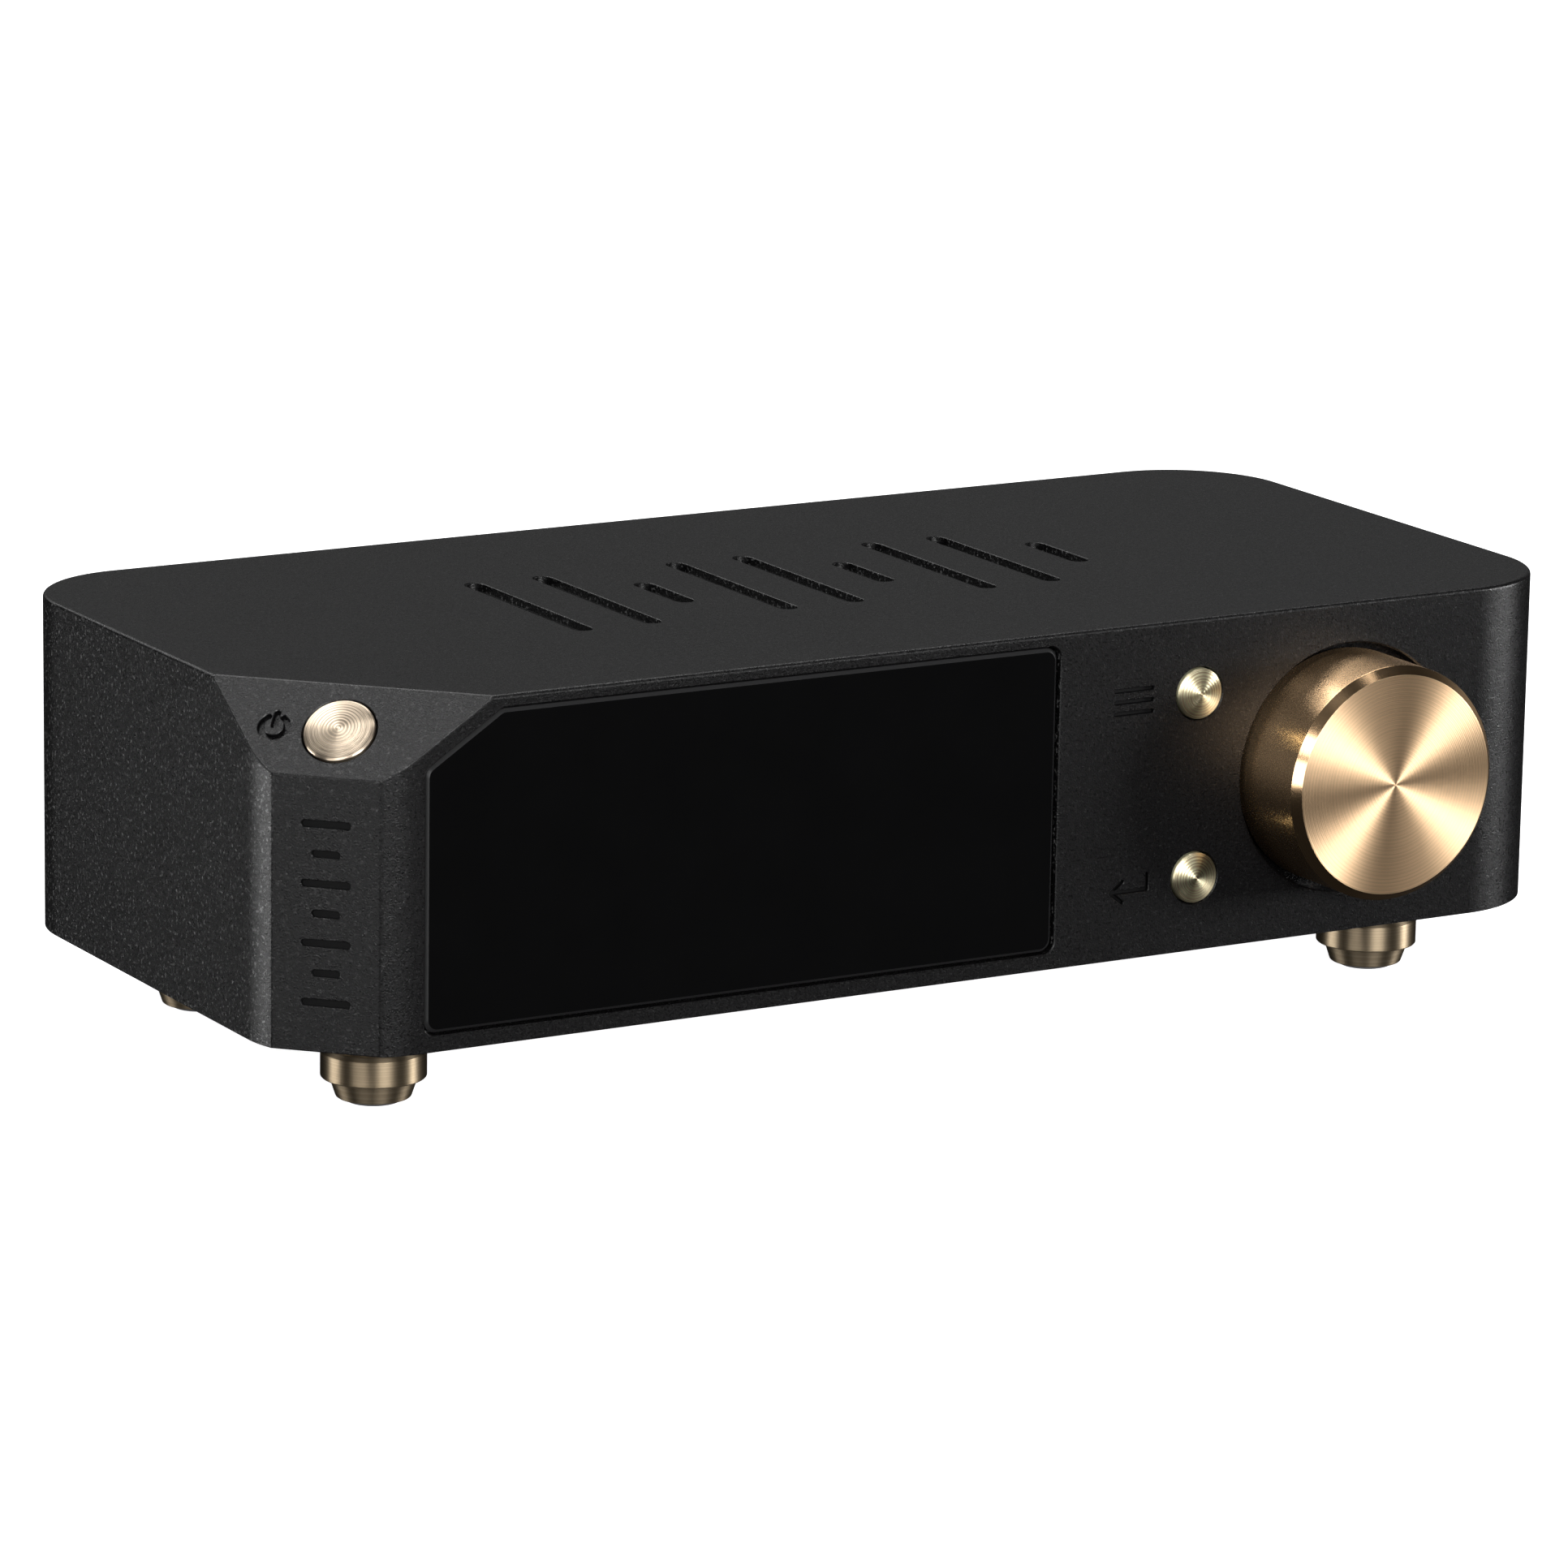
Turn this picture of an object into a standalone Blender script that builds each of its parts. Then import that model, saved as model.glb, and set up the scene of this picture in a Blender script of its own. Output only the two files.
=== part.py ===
"""Desktop digital audio player.

A milled housing on four turned feet, with a display window, a rotary push knob, two front buttons and a
power button on a sloping corner facet. Inside are the display module, the boards, the switches and the
rotary encoder, and the sockets sit on a rear panel.

Body coordinates are used throughout: x runs from the left side, y from the front face and z from the
underside of the housing. body_point turns them into world coordinates, whose origin is the bottom centre
of the whole object, with the front facing -Y.
"""
import math

import bmesh
import bpy
from mathutils import Matrix, Vector

MM = 0.001

# Clearances
REST_GAP = 0.3 * MM      # between pieces that rest on or are soldered to each other
CUT_OVERRUN = 1 * MM     # how far a cutter passes an open face

# Housing
BODY_WIDTH = 180 * MM
BODY_DEPTH = 84.3 * MM
BODY_HEIGHT = 42.3 * MM
CORNER_RADIUS = 15 * MM
TOP_CHAMFER = 0.5 * MM
WALL = 4 * MM
FACET_SUM = 11 * MM      # x + y on the upright facet across the front left corner
SLOPE_SUM = 24.9 * MM    # x + y where the sloping facet meets the top
SLOPE_FOOT = 33.3 * MM   # height where the sloping facet meets the upright facet

# Feet, measured down from the underside of the housing
FOOT_HEIGHT = 10.4 * MM
FOOT_INSET_X = 18.2 * MM
FOOT_INSET_Y = 18 * MM
FOOT_COLLAR_RADIUS = 6.43 * MM
FOOT_NECK_RADIUS = 4.6 * MM
FOOT_STUD_RADIUS = 2 * MM
FOOT_STUD_TOP = 4.6 * MM
FOOT_BOSS_TOP = 5.4 * MM     # top of the cover's threaded boss
PAD_RADIUS = 3.55 * MM
PAD_POCKET = 8.5 * MM        # floor of the pocket that holds the rubber pad

# Knob and encoder
KNOB_X = 145.6 * MM
KNOB_Z = 21.15 * MM
KNOB_RADIUS = 14.93 * MM
KNOB_OUT = 10.8 * MM
KNOB_TRAVEL = 0.5 * MM
KNOB_RECESS_RADIUS = 15.9 * MM
KNOB_RECESS_DEPTH = 3 * MM
KNOB_BOSS_RADIUS = 18.4 * MM
KNOB_BOSS_DEPTH = 6.5 * MM
SHAFT_RADIUS = 3 * MM
SHAFT_BORE_RADIUS = 3.2 * MM
BUSH_RADIUS = 3.5 * MM
BUSH_HOLE_RADIUS = 3.8 * MM
ENCODER_SIDE = 12.4 * MM
ENCODER_BACK = 11.9 * MM
SET_SCREW_DEPTH = -4 * MM
SET_SCREW_RADIUS = 1.35 * MM

# Buttons
BUTTON_X = 123.2 * MM
MENU_BUTTON_Z = 32.8 * MM
RETURN_BUTTON_Z = 9.35 * MM
BUTTON_RADIUS = 3.2 * MM
BUTTON_DOME = 0.6 * MM
POWER_RADIUS = 4.33 * MM
POWER_DOME = 0.7 * MM
BUTTON_CLEARANCE = 0.2 * MM
FLANGE_EXTRA = 0.65 * MM
FLANGE_THICKNESS = 0.8 * MM
STEM_RADIUS = 1.5 * MM
PLUNGER_RADIUS = 1.75 * MM
SWITCH_SIDE = 6 * MM
SWITCH_HEIGHT = 3.5 * MM

# Display window, in the plane of the front face
WINDOW_LEFT = 15.65 * MM
WINDOW_RIGHT = 102.9 * MM
WINDOW_BOTTOM = 1.97 * MM
WINDOW_TOP = 40.8 * MM
WINDOW_CUT_X = 10.25 * MM    # the window's cut corner, along the top
WINDOW_CUT_Z = 6.6 * MM      # and down the left side
WINDOW_CORNER = 1.6 * MM
WINDOW_GROOVE = 0.3 * MM
WINDOW_DEPTH = 2.05 * MM
GLASS_FRONT = 0.25 * MM
GLASS_BACK = 1.15 * MM
GLASS_BEVEL = 0.4 * MM
DISPLAY_MARGIN = 6 * MM      # from the window's edge to the opening behind it

# Boards
BOARD_THICKNESS = 1.6 * MM
FRONT_BOARD_Y = 13.6 * MM
MAIN_BOARD_Z = 10.7 * MM
MAIN_BOARD_TOP = MAIN_BOARD_Z + BOARD_THICKNESS
PART_Z = MAIN_BOARD_TOP + REST_GAP

# Bottom cover
COVER_INSET = 1.8 * MM
COVER_CLEARANCE = 0.2 * MM
COVER_THICKNESS = 2.2 * MM
COVER_REBATE = COVER_THICKNESS + REST_GAP
COLUMN_RADIUS = 3.5 * MM
COLUMN_TOP = 20 * MM
COLUMN_INSET = 9 * MM
FACET_COLUMN_INSET = 10.5 * MM
STANDOFF_RADIUS = 3 * MM

# Rear panel, in the plane of the rear face
PANEL_LEFT = 12 * MM
PANEL_BOTTOM = 4.5 * MM
PANEL_TOP = 38.5 * MM
PANEL_LEDGE = 3 * MM         # depth of the recess that holds the panel
PANEL_FACE = 1 * MM          # depth of the panel's outer face
PANEL_THICKNESS = 1.7 * MM
PANEL_CLEARANCE = 0.2 * MM
PANEL_BORDER = 4 * MM        # width of the ledge at the sides
PANEL_EDGE = 2 * MM          # and at the top and bottom
PANEL_SCREW_INSET = 2 * MM   # from the panel's end to its screws
PANEL_SCREW_LOW = 8 * MM
PANEL_SCREW_HIGH = 34.6 * MM
JACK_OUT = 8 * MM            # how far the round sockets stand out of the rear face

# Engraving
ENGRAVE_DEPTH = 0.4 * MM
TOP_ENGRAVE_DEPTH = 1 * MM
STROKE_STEPS = 3             # sides of a stroke's round end
FRONT_STROKE = 0.5 * MM
POWER_STROKE = 0.75 * MM

FRONT_Y = -(BODY_DEPTH + JACK_OUT - KNOB_OUT) / 2
LEFT_X = -BODY_WIDTH / 2

BLACK_ALUMINIUM = ("black_aluminium", (0.018, 0.018, 0.02, 1), 0.5, 0.6)
GOLD_METAL = ("gold_metal", (0.62, 0.46, 0.25, 1), 0.3, 1.0)
BLACK_GLASS = ("black_glass", (0.004, 0.004, 0.005, 1), 0.08, 0.0)
GREY_RUBBER = ("grey_rubber", (0.16, 0.16, 0.17, 1), 0.75, 0.0)
BLACK_PLASTIC = ("black_plastic", (0.02, 0.02, 0.02, 1), 0.5, 0.0)
STEEL = ("steel", (0.55, 0.55, 0.56, 1), 0.35, 1.0)
BOARD_GREEN = ("board_green", (0.015, 0.07, 0.035, 1), 0.45, 0.0)
COPPER_POLYMER = ("copper_polymer", (0.35, 0.16, 0.05, 1), 0.45, 0.0)
JACK_GOLD = ("jack_gold", (0.75, 0.55, 0.22, 1), 0.22, 1.0)


def body_point(x, y, z):
    """World position of a point given in body coordinates."""
    return Vector((LEFT_X + x, FRONT_Y + y, FOOT_HEIGHT + z))


def frame(origin, right, up):
    """A frame with local X along right, local Y along up and local Z out of the face."""
    out = right.cross(up)
    rotation = Matrix((right, up, out)).transposed().to_4x4()
    return Matrix.Translation(origin) @ rotation


RIGHT = Vector((1, 0, 0))
REAR = Vector((0, 1, 0))
UP = Vector((0, 0, 1))
# Local x and y are body x and z on the front, and body x and y on the top and bottom.
FRONT_FRAME = frame(body_point(0, 0, 0), RIGHT, UP)
TOP_FRAME = frame(body_point(0, 0, BODY_HEIGHT), RIGHT, REAR)
BASE_FRAME = frame(body_point(0, 0, 0), RIGHT, REAR)
# Seen from behind, local x runs from the housing's right side towards its left side.
REAR_FRAME = frame(body_point(BODY_WIDTH, BODY_DEPTH, 0), -RIGHT, UP)

FACET_RIGHT = Vector((1, -1, 0)).normalized()
FACET_OUT = Vector((-1, -1, 0)).normalized()
SLOPE_RUN = (SLOPE_SUM - FACET_SUM) / math.sqrt(2)
SLOPE_RISE = BODY_HEIGHT - SLOPE_FOOT
SLOPE_UP = (UP * SLOPE_RISE - FACET_OUT * SLOPE_RUN).normalized()
SLOPE_MIDDLE = body_point((SLOPE_SUM + FACET_SUM) / 4, (SLOPE_SUM + FACET_SUM) / 4,
                          (BODY_HEIGHT + SLOPE_FOOT) / 2)
SLOPE_FRAME = frame(SLOPE_MIDDLE, FACET_RIGHT, SLOPE_UP)
FACET_FRAME = frame(body_point(FACET_SUM / 2, FACET_SUM / 2, 0), FACET_RIGHT, UP)
SLOPE_OUT = FACET_RIGHT.cross(SLOPE_UP)


def clear_scene():
    for item in list(bpy.data.objects):
        bpy.data.objects.remove(item, do_unlink=True)


def new_collection(name):
    collection = bpy.data.collections.new(name)
    bpy.context.scene.collection.children.link(collection)
    return collection


def get_material(finish):
    """The material of a finish, given as name, colour, roughness and metallic value."""
    name, colour, roughness, metallic = finish
    material = bpy.data.materials.get(name)
    if material is None:
        material = bpy.data.materials.new(name)
        material.use_nodes = True
        shader = material.node_tree.nodes["Principled BSDF"]
        shader.inputs["Base Color"].default_value = colour
        shader.inputs["Roughness"].default_value = roughness
        shader.inputs["Metallic"].default_value = metallic
        material.diffuse_color = colour
    return material


def add_object(name, mesh, matrix, finish):
    item = bpy.data.objects.new(name, mesh)
    item.matrix_world = matrix
    PARTS.objects.link(item)
    if finish:
        mesh.materials.append(get_material(finish))
    return item


def finish_mesh(name, bm):
    bmesh.ops.recalc_face_normals(bm, faces=bm.faces)
    mesh = bpy.data.meshes.new(name)
    bm.to_mesh(mesh)
    bm.free()
    return mesh


def arc_points(centre, radius, start, end, steps):
    """Points on an arc, with the angles in degrees."""
    points = []
    for step in range(steps + 1):
        angle = math.radians(start + (end - start) * step / steps)
        points.append((centre[0] + radius * math.cos(angle), centre[1] + radius * math.sin(angle)))
    return points


def rounded_rectangle(low, high, radius, steps=8):
    """Outline of a rectangle from its low to its high corner, with round corners."""
    corners = ((low[0], low[1], 1, 1, 180), (high[0], low[1], -1, 1, 270),
               (high[0], high[1], -1, -1, 0), (low[0], high[1], 1, -1, 90))
    outline = []
    for x, y, side_x, side_y, start in corners:
        centre = (x + side_x * radius, y + side_y * radius)
        outline += arc_points(centre, radius, start, start + 90, steps)
    return outline


def rounded_polygon(points, radius, steps=4):
    """Outline of a convex anticlockwise polygon, with every corner rounded to the same radius."""
    outline = []
    for index, point in enumerate(points):
        corner = Vector(point)
        before = (Vector(points[index - 1]) - corner).normalized()
        after = (Vector(points[(index + 1) % len(points)]) - corner).normalized()
        half_angle = before.angle(after) / 2
        centre = corner + (before + after).normalized() * radius / math.sin(half_angle)
        start = centre_angle(centre, corner + before * radius / math.tan(half_angle))
        end = centre_angle(centre, corner + after * radius / math.tan(half_angle))
        if end < start:
            end += 360
        outline += arc_points(centre, radius, start, end, steps)
    return outline


def centre_angle(centre, point):
    return math.degrees(math.atan2(point[1] - centre[1], point[0] - centre[0]))


def extruded(outline, bottom, top):
    """A bmesh of an outline extruded along local Z, with its top rim's edges."""
    bm = bmesh.new()
    base = bm.faces.new([bm.verts.new((x, y, bottom)) for x, y in outline])
    grown = bmesh.ops.extrude_face_region(bm, geom=[base])["geom"]
    top_verts = [item for item in grown if isinstance(item, bmesh.types.BMVert)]
    for vert in top_verts:
        vert.co.z = top
    top_face = next(item for item in grown if isinstance(item, bmesh.types.BMFace))
    return bm, list(top_face.edges)


def prism(name, outline, bottom, top, place, finish=None, chamfer=0.0):
    """An outline extruded between two heights along the frame's Z, with an optional chamfer on top."""
    bm, rim = extruded(outline, bottom, top)
    if chamfer:
        bmesh.ops.bevel(bm, geom=rim, offset=chamfer, segments=1, affect="EDGES")
    return add_object(name, finish_mesh(name, bm), place, finish)


def block(name, low, high, place, finish=None):
    """A box between two corners of a frame."""
    bm = bmesh.new()
    bmesh.ops.create_cube(bm, size=1)
    size = Vector(high) - Vector(low)
    middle = (Vector(high) + Vector(low)) / 2
    bmesh.ops.scale(bm, vec=size, verts=bm.verts)
    bmesh.ops.translate(bm, vec=middle, verts=bm.verts)
    return add_object(name, finish_mesh(name, bm), place, finish)


def drum(name, radius, bottom, top, place, centre=(0, 0), finish=None, steps=32, top_radius=None):
    """A cylinder, or a cone when top_radius is given, along the frame's Z."""
    bm = bmesh.new()
    upper = radius if top_radius is None else top_radius
    bmesh.ops.create_cone(bm, cap_ends=True, segments=steps, radius1=radius, radius2=upper,
                          depth=top - bottom)
    spot = place @ Matrix.Translation((centre[0], centre[1], (bottom + top) / 2))
    item = add_object(name, finish_mesh(name, bm), spot, finish)
    smooth(item)
    return item


def turned(name, profile, place, centre=(0, 0), finish=None, steps=48):
    """A turned piece: (radius, height) points from the top down its outer side, along the frame's Z."""
    bm = bmesh.new()
    verts = [bm.verts.new((radius, 0, height)) for radius, height in profile]
    for first, second in zip(verts, verts[1:]):
        bm.edges.new((first, second))
    mesh = bpy.data.meshes.new(name)
    bm.to_mesh(mesh)
    bm.free()
    item = add_object(name, mesh, place @ Matrix.Translation((centre[0], centre[1], 0)), finish)
    screw = item.modifiers.new("Turn", "SCREW")
    screw.axis = "Z"
    screw.steps = steps
    screw.render_steps = steps
    screw.use_merge_vertices = True
    screw.merge_threshold = 0.00001
    screw.use_smooth_shade = True
    return item


def smooth(item):
    item.data.shade_smooth()
    item.data.set_sharp_from_angle(angle=math.radians(35))


def as_tool(item):
    """Keeps an object as a cutter or joined form, out of the model itself."""
    PARTS.objects.unlink(item)
    TOOLS.objects.link(item)
    item.hide_render = True
    item.display_type = "WIRE"
    return item


def combine(target, operation, tools):
    for tool in tools:
        modifier = target.modifiers.new(operation.title(), "BOOLEAN")
        modifier.operation = operation
        modifier.solver = "EXACT"
        modifier.object = as_tool(tool)


def cut(target, *tools):
    combine(target, "DIFFERENCE", tools)


def join(target, *tools):
    combine(target, "UNION", tools)


# Housing

def slice_plane(bm, point, out):
    """Cuts away what lies beyond a plane and closes the cut."""
    geometry = list(bm.verts) + list(bm.edges) + list(bm.faces)
    result = bmesh.ops.bisect_plane(bm, geom=geometry, plane_co=point, plane_no=out, clear_outer=True,
                                    dist=0.000001)
    edges = [item for item in result["geom_cut"] if isinstance(item, bmesh.types.BMEdge)]
    bmesh.ops.edgeloop_fill(bm, edges=edges)


def faceted_block(name, inset, bottom, top, chamfer=0.0, finish=None):
    """The housing's outer form moved inwards by an inset, between two heights."""
    low = (inset, inset)
    high = (BODY_WIDTH - inset, BODY_DEPTH - inset)
    bm, rim = extruded(rounded_rectangle(low, high, CORNER_RADIUS - inset), bottom, top)
    if chamfer:
        bmesh.ops.bevel(bm, geom=rim, offset=chamfer, segments=1, affect="EDGES")
    to_body = BASE_FRAME.inverted()
    upright = to_body @ FACET_FRAME.to_translation() - FACET_OUT * inset
    slice_plane(bm, upright, FACET_OUT)
    slope = to_body @ SLOPE_MIDDLE - SLOPE_OUT * inset
    slice_plane(bm, slope, SLOPE_OUT)
    return add_object(name, finish_mesh(name, bm), BASE_FRAME, finish)


def window_outline(inset):
    """The display window's outline, with its cut corner beside the sloping facet, moved inwards."""
    cut_length = math.hypot(WINDOW_CUT_X, WINDOW_CUT_Z)
    shift_x = inset * (WINDOW_CUT_X + WINDOW_CUT_Z - cut_length) / WINDOW_CUT_Z
    shift_z = inset * (WINDOW_CUT_X + WINDOW_CUT_Z - cut_length) / WINDOW_CUT_X
    corners = ((WINDOW_LEFT + inset, WINDOW_BOTTOM + inset), (WINDOW_RIGHT - inset, WINDOW_BOTTOM + inset),
               (WINDOW_RIGHT - inset, WINDOW_TOP - inset),
               (WINDOW_LEFT + inset + WINDOW_CUT_X - shift_x, WINDOW_TOP - inset),
               (WINDOW_LEFT + inset, WINDOW_TOP - inset - WINDOW_CUT_Z + shift_z))
    return rounded_polygon(corners, WINDOW_CORNER)


def column_centres():
    """Centres of the four cover screw columns; the faceted corner's column stands further in."""
    far_x = BODY_WIDTH - COLUMN_INSET
    far_y = BODY_DEPTH - COLUMN_INSET
    faceted = (FACET_COLUMN_INSET, FACET_COLUMN_INSET)
    return (faceted, (far_x, COLUMN_INSET), (COLUMN_INSET, far_y), (far_x, far_y))


def panel_screw_centres():
    """Centres of the rear panel's screws, seen from behind."""
    near = PANEL_LEFT + PANEL_SCREW_INSET
    return [(x, z) for x in (near, BODY_WIDTH - near) for z in (PANEL_SCREW_LOW, PANEL_SCREW_HIGH)]


def power_post_centres():
    return ((-6.8 * MM, 0), (6.8 * MM, 0))


def add_columns(housing):
    for index, centre in enumerate(column_centres()):
        column = drum(f"column_{index}", COLUMN_RADIUS, COVER_REBATE, COLUMN_TOP, BASE_FRAME, centre,
                      steps=16)
        join(housing, column)
        cut(housing, drum(f"column_hole_{index}", 1.7 * MM, 0, 11 * MM, BASE_FRAME, centre, steps=12))


def add_panel_bosses(housing):
    for index, centre in enumerate(panel_screw_centres()):
        boss = drum(f"panel_boss_{index}", 2.8 * MM, -8 * MM, -PANEL_LEDGE, REAR_FRAME, centre, steps=16)
        join(housing, boss)


def cut_panel_holes(housing):
    for index, centre in enumerate(panel_screw_centres()):
        cut(housing, drum(f"panel_hole_{index}", 1.4 * MM, -7 * MM, 0, REAR_FRAME, centre, steps=12))


def add_power_posts(housing):
    for index, centre in enumerate(power_post_centres()):
        post = drum(f"power_post_{index}", 1.8 * MM, -10.9 * MM, -3.5 * MM, SLOPE_FRAME, centre, steps=12)
        join(housing, post)
        hole = drum(f"power_post_hole_{index}", 1 * MM, -11.9 * MM, -6 * MM, SLOPE_FRAME, centre, steps=12)
        cut(housing, hole)


def cut_rear_opening(housing):
    high_x = BODY_WIDTH - PANEL_LEFT
    recess = rounded_rectangle((PANEL_LEFT, PANEL_BOTTOM), (high_x, PANEL_TOP), 1.5 * MM, 3)
    cut(housing, prism("panel_recess", recess, -PANEL_LEDGE, CUT_OVERRUN, REAR_FRAME))
    low = (PANEL_LEFT + PANEL_BORDER + 0.9 * MM, PANEL_BOTTOM + PANEL_EDGE)
    high = (high_x - PANEL_BORDER - 0.9 * MM, PANEL_TOP - PANEL_EDGE)
    opening = rounded_rectangle(low, high, 1.5 * MM, 3)
    cut(housing, prism("panel_opening", opening, -9 * MM, 0, REAR_FRAME))


def cut_display(housing):
    cut(housing, prism("window_recess", window_outline(0), -WINDOW_DEPTH, CUT_OVERRUN, FRONT_FRAME))
    low = (WINDOW_LEFT + DISPLAY_MARGIN, WINDOW_BOTTOM + 4.5 * MM)
    high = (WINDOW_RIGHT - 4.9 * MM, WINDOW_TOP - 4.3 * MM)
    opening = rounded_rectangle(low, high, 1 * MM, 2)
    cut(housing, prism("display_opening", opening, -WALL - CUT_OVERRUN, 0, FRONT_FRAME))


def cut_knob_recess(housing):
    centre = (KNOB_X, KNOB_Z)
    boss = drum("knob_boss", KNOB_BOSS_RADIUS, -KNOB_BOSS_DEPTH, -2 * MM, FRONT_FRAME, centre, steps=32)
    join(housing, boss)
    recess = drum("knob_recess", KNOB_RECESS_RADIUS, -KNOB_RECESS_DEPTH, CUT_OVERRUN, FRONT_FRAME, centre,
                  steps=48)
    cut(housing, recess)
    cut(housing, drum("bush_hole", BUSH_HOLE_RADIUS, -9 * MM, 0, FRONT_FRAME, centre, steps=24))


def cut_button_bores(housing):
    for name, height in (("menu", MENU_BUTTON_Z), ("return", RETURN_BUTTON_Z)):
        bore_radius = BUTTON_RADIUS + BUTTON_CLEARANCE
        cut(housing, drum(f"{name}_bore", bore_radius, -6 * MM, CUT_OVERRUN, FRONT_FRAME, (BUTTON_X, height)))
    cut(housing, drum("power_bore", POWER_RADIUS + BUTTON_CLEARANCE, -6 * MM, CUT_OVERRUN, SLOPE_FRAME))


def stroke(name, start, end, width, place, depth=ENGRAVE_DEPTH):
    """A cutter for one engraved stroke with round ends."""
    direction = Vector(end) - Vector(start)
    heading = math.degrees(math.atan2(direction.y, direction.x))
    outline = arc_points(end, width / 2, heading - 90, heading + 90, STROKE_STEPS)
    outline += arc_points(start, width / 2, heading + 90, heading + 270, STROKE_STEPS)
    return prism(name, outline, -depth, CUT_OVERRUN, place)


def engrave_menu_symbol(housing):
    """Three level strokes beside the menu button."""
    for index in range(3):
        height = (34.2 - 1.45 * index) * MM
        start = (110.95 * MM, height)
        end = (116.3 * MM, height)
        cut(housing, stroke(f"menu_stroke_{index}", start, end, FRONT_STROKE, FRONT_FRAME))


def engrave_return_symbol(housing):
    """An arrow that comes down and turns left, beside the return button."""
    corner = (116.2 * MM, 8.65 * MM)
    tip = (110.9 * MM, 8.65 * MM)
    top = (116.2 * MM, 10.6 * MM)
    cut(housing, stroke("return_stem", top, corner, FRONT_STROKE, FRONT_FRAME))
    cut(housing, stroke("return_shaft", corner, tip, FRONT_STROKE, FRONT_FRAME))
    for index, rise in enumerate((1.3 * MM, -1.3 * MM)):
        leg_end = (tip[0] + 1.7 * MM, tip[1] + rise)
        cut(housing, stroke(f"return_head_{index}", tip, leg_end, FRONT_STROKE, FRONT_FRAME))


def engrave_power_symbol(housing):
    """A broken ring with an upright stroke in its gap, left of the power button."""
    centre = (-8.1 * MM, 0)
    radius = 1.6 * MM
    half = POWER_STROKE / 2
    outline = arc_points(centre, radius + half, 125, 415, 20)
    outline += arc_points(centre, radius - half, 415, 125, 20)
    cut(housing, prism("power_ring", outline, -ENGRAVE_DEPTH, CUT_OVERRUN, SLOPE_FRAME))
    low = (centre[0], 0.1 * MM)
    high = (centre[0], 1.9 * MM)
    cut(housing, stroke("power_stroke", low, high, POWER_STROKE, SLOPE_FRAME))


def engrave_top_pattern(housing):
    """A plain row of sunk bars of different lengths, centred on the top."""
    count = 9
    pitch = 9.6 * MM
    for index in range(count):
        x = BODY_WIDTH / 2 + (index - (count - 1) / 2) * pitch
        half_length = (5 + 10.5 * abs(math.sin(1.05 * (index + 1)))) * MM
        middle = BODY_DEPTH / 2
        start = (x, middle - half_length)
        end = (x, middle + half_length)
        cut(housing, stroke(f"top_bar_{index}", start, end, 2.6 * MM, TOP_FRAME, TOP_ENGRAVE_DEPTH))


def engrave_facet_pattern(housing):
    """A plain ladder of short level strokes on the upright facet."""
    for index in range(7):
        height = (6 + 3.6 * index) * MM
        half_length = (2.6 if index % 2 == 0 else 1.3) * MM
        start = (-half_length, height)
        end = (half_length, height)
        cut(housing, stroke(f"facet_bar_{index}", start, end, 0.9 * MM, FACET_FRAME))


def make_housing():
    housing = faceted_block("housing", 0, 0, BODY_HEIGHT, TOP_CHAMFER, BLACK_ALUMINIUM)
    cut(housing, faceted_block("pocket", WALL, -CUT_OVERRUN, BODY_HEIGHT - WALL))
    cut(housing, faceted_block("cover_rebate", COVER_INSET, -CUT_OVERRUN, COVER_REBATE))
    add_columns(housing)
    add_panel_bosses(housing)
    cut_rear_opening(housing)
    cut_panel_holes(housing)
    add_power_posts(housing)
    cut_knob_recess(housing)
    cut_display(housing)
    cut_button_bores(housing)
    engrave_menu_symbol(housing)
    engrave_return_symbol(housing)
    engrave_power_symbol(housing)
    engrave_top_pattern(housing)
    engrave_facet_pattern(housing)


# Bottom cover, feet and screws

def foot_centres():
    """Name and centre of each foot."""
    far_x = BODY_WIDTH - FOOT_INSET_X
    far_y = BODY_DEPTH - FOOT_INSET_Y
    return (("front_left", (FOOT_INSET_X, FOOT_INSET_Y)), ("front_right", (far_x, FOOT_INSET_Y)),
            ("rear_left", (FOOT_INSET_X, far_y)), ("rear_right", (far_x, far_y)))


def standoff_centres():
    return [(x * MM, y * MM) for y in (24, 58) for x in (26, 154)]


def make_bottom_cover():
    inset = COVER_INSET + COVER_CLEARANCE
    cover = faceted_block("bottom_cover", inset, 0, COVER_THICKNESS, 0.0, BLACK_ALUMINIUM)
    overlap = COVER_THICKNESS - 0.5 * MM
    for name, centre in foot_centres():
        join(cover, drum(f"foot_boss_{name}", 4 * MM, overlap, FOOT_BOSS_TOP, BASE_FRAME, centre, steps=16))
        hole = drum(f"foot_hole_{name}", FOOT_STUD_RADIUS + REST_GAP, -CUT_OVERRUN,
                    FOOT_BOSS_TOP + CUT_OVERRUN, BASE_FRAME, centre, steps=16)
        cut(cover, hole)
    standoff_top = MAIN_BOARD_Z - REST_GAP
    for index, centre in enumerate(standoff_centres()):
        standoff = drum(f"standoff_{index}", STANDOFF_RADIUS, overlap, standoff_top, BASE_FRAME, centre,
                        steps=12)
        join(cover, standoff)
        hole = drum(f"standoff_hole_{index}", 1.2 * MM, 4 * MM, standoff_top + CUT_OVERRUN, BASE_FRAME,
                    centre, steps=12)
        cut(cover, hole)
    for index, centre in enumerate(column_centres()):
        cut(cover, drum(f"cover_hole_{index}", 1.8 * MM, -CUT_OVERRUN, 4 * MM, BASE_FRAME, centre, steps=16))
        sink = drum(f"cover_sink_{index}", 4.6 * MM, -CUT_OVERRUN, 1.9 * MM, BASE_FRAME, centre, steps=16,
                    top_radius=1.7 * MM)
        cut(cover, sink)


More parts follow.
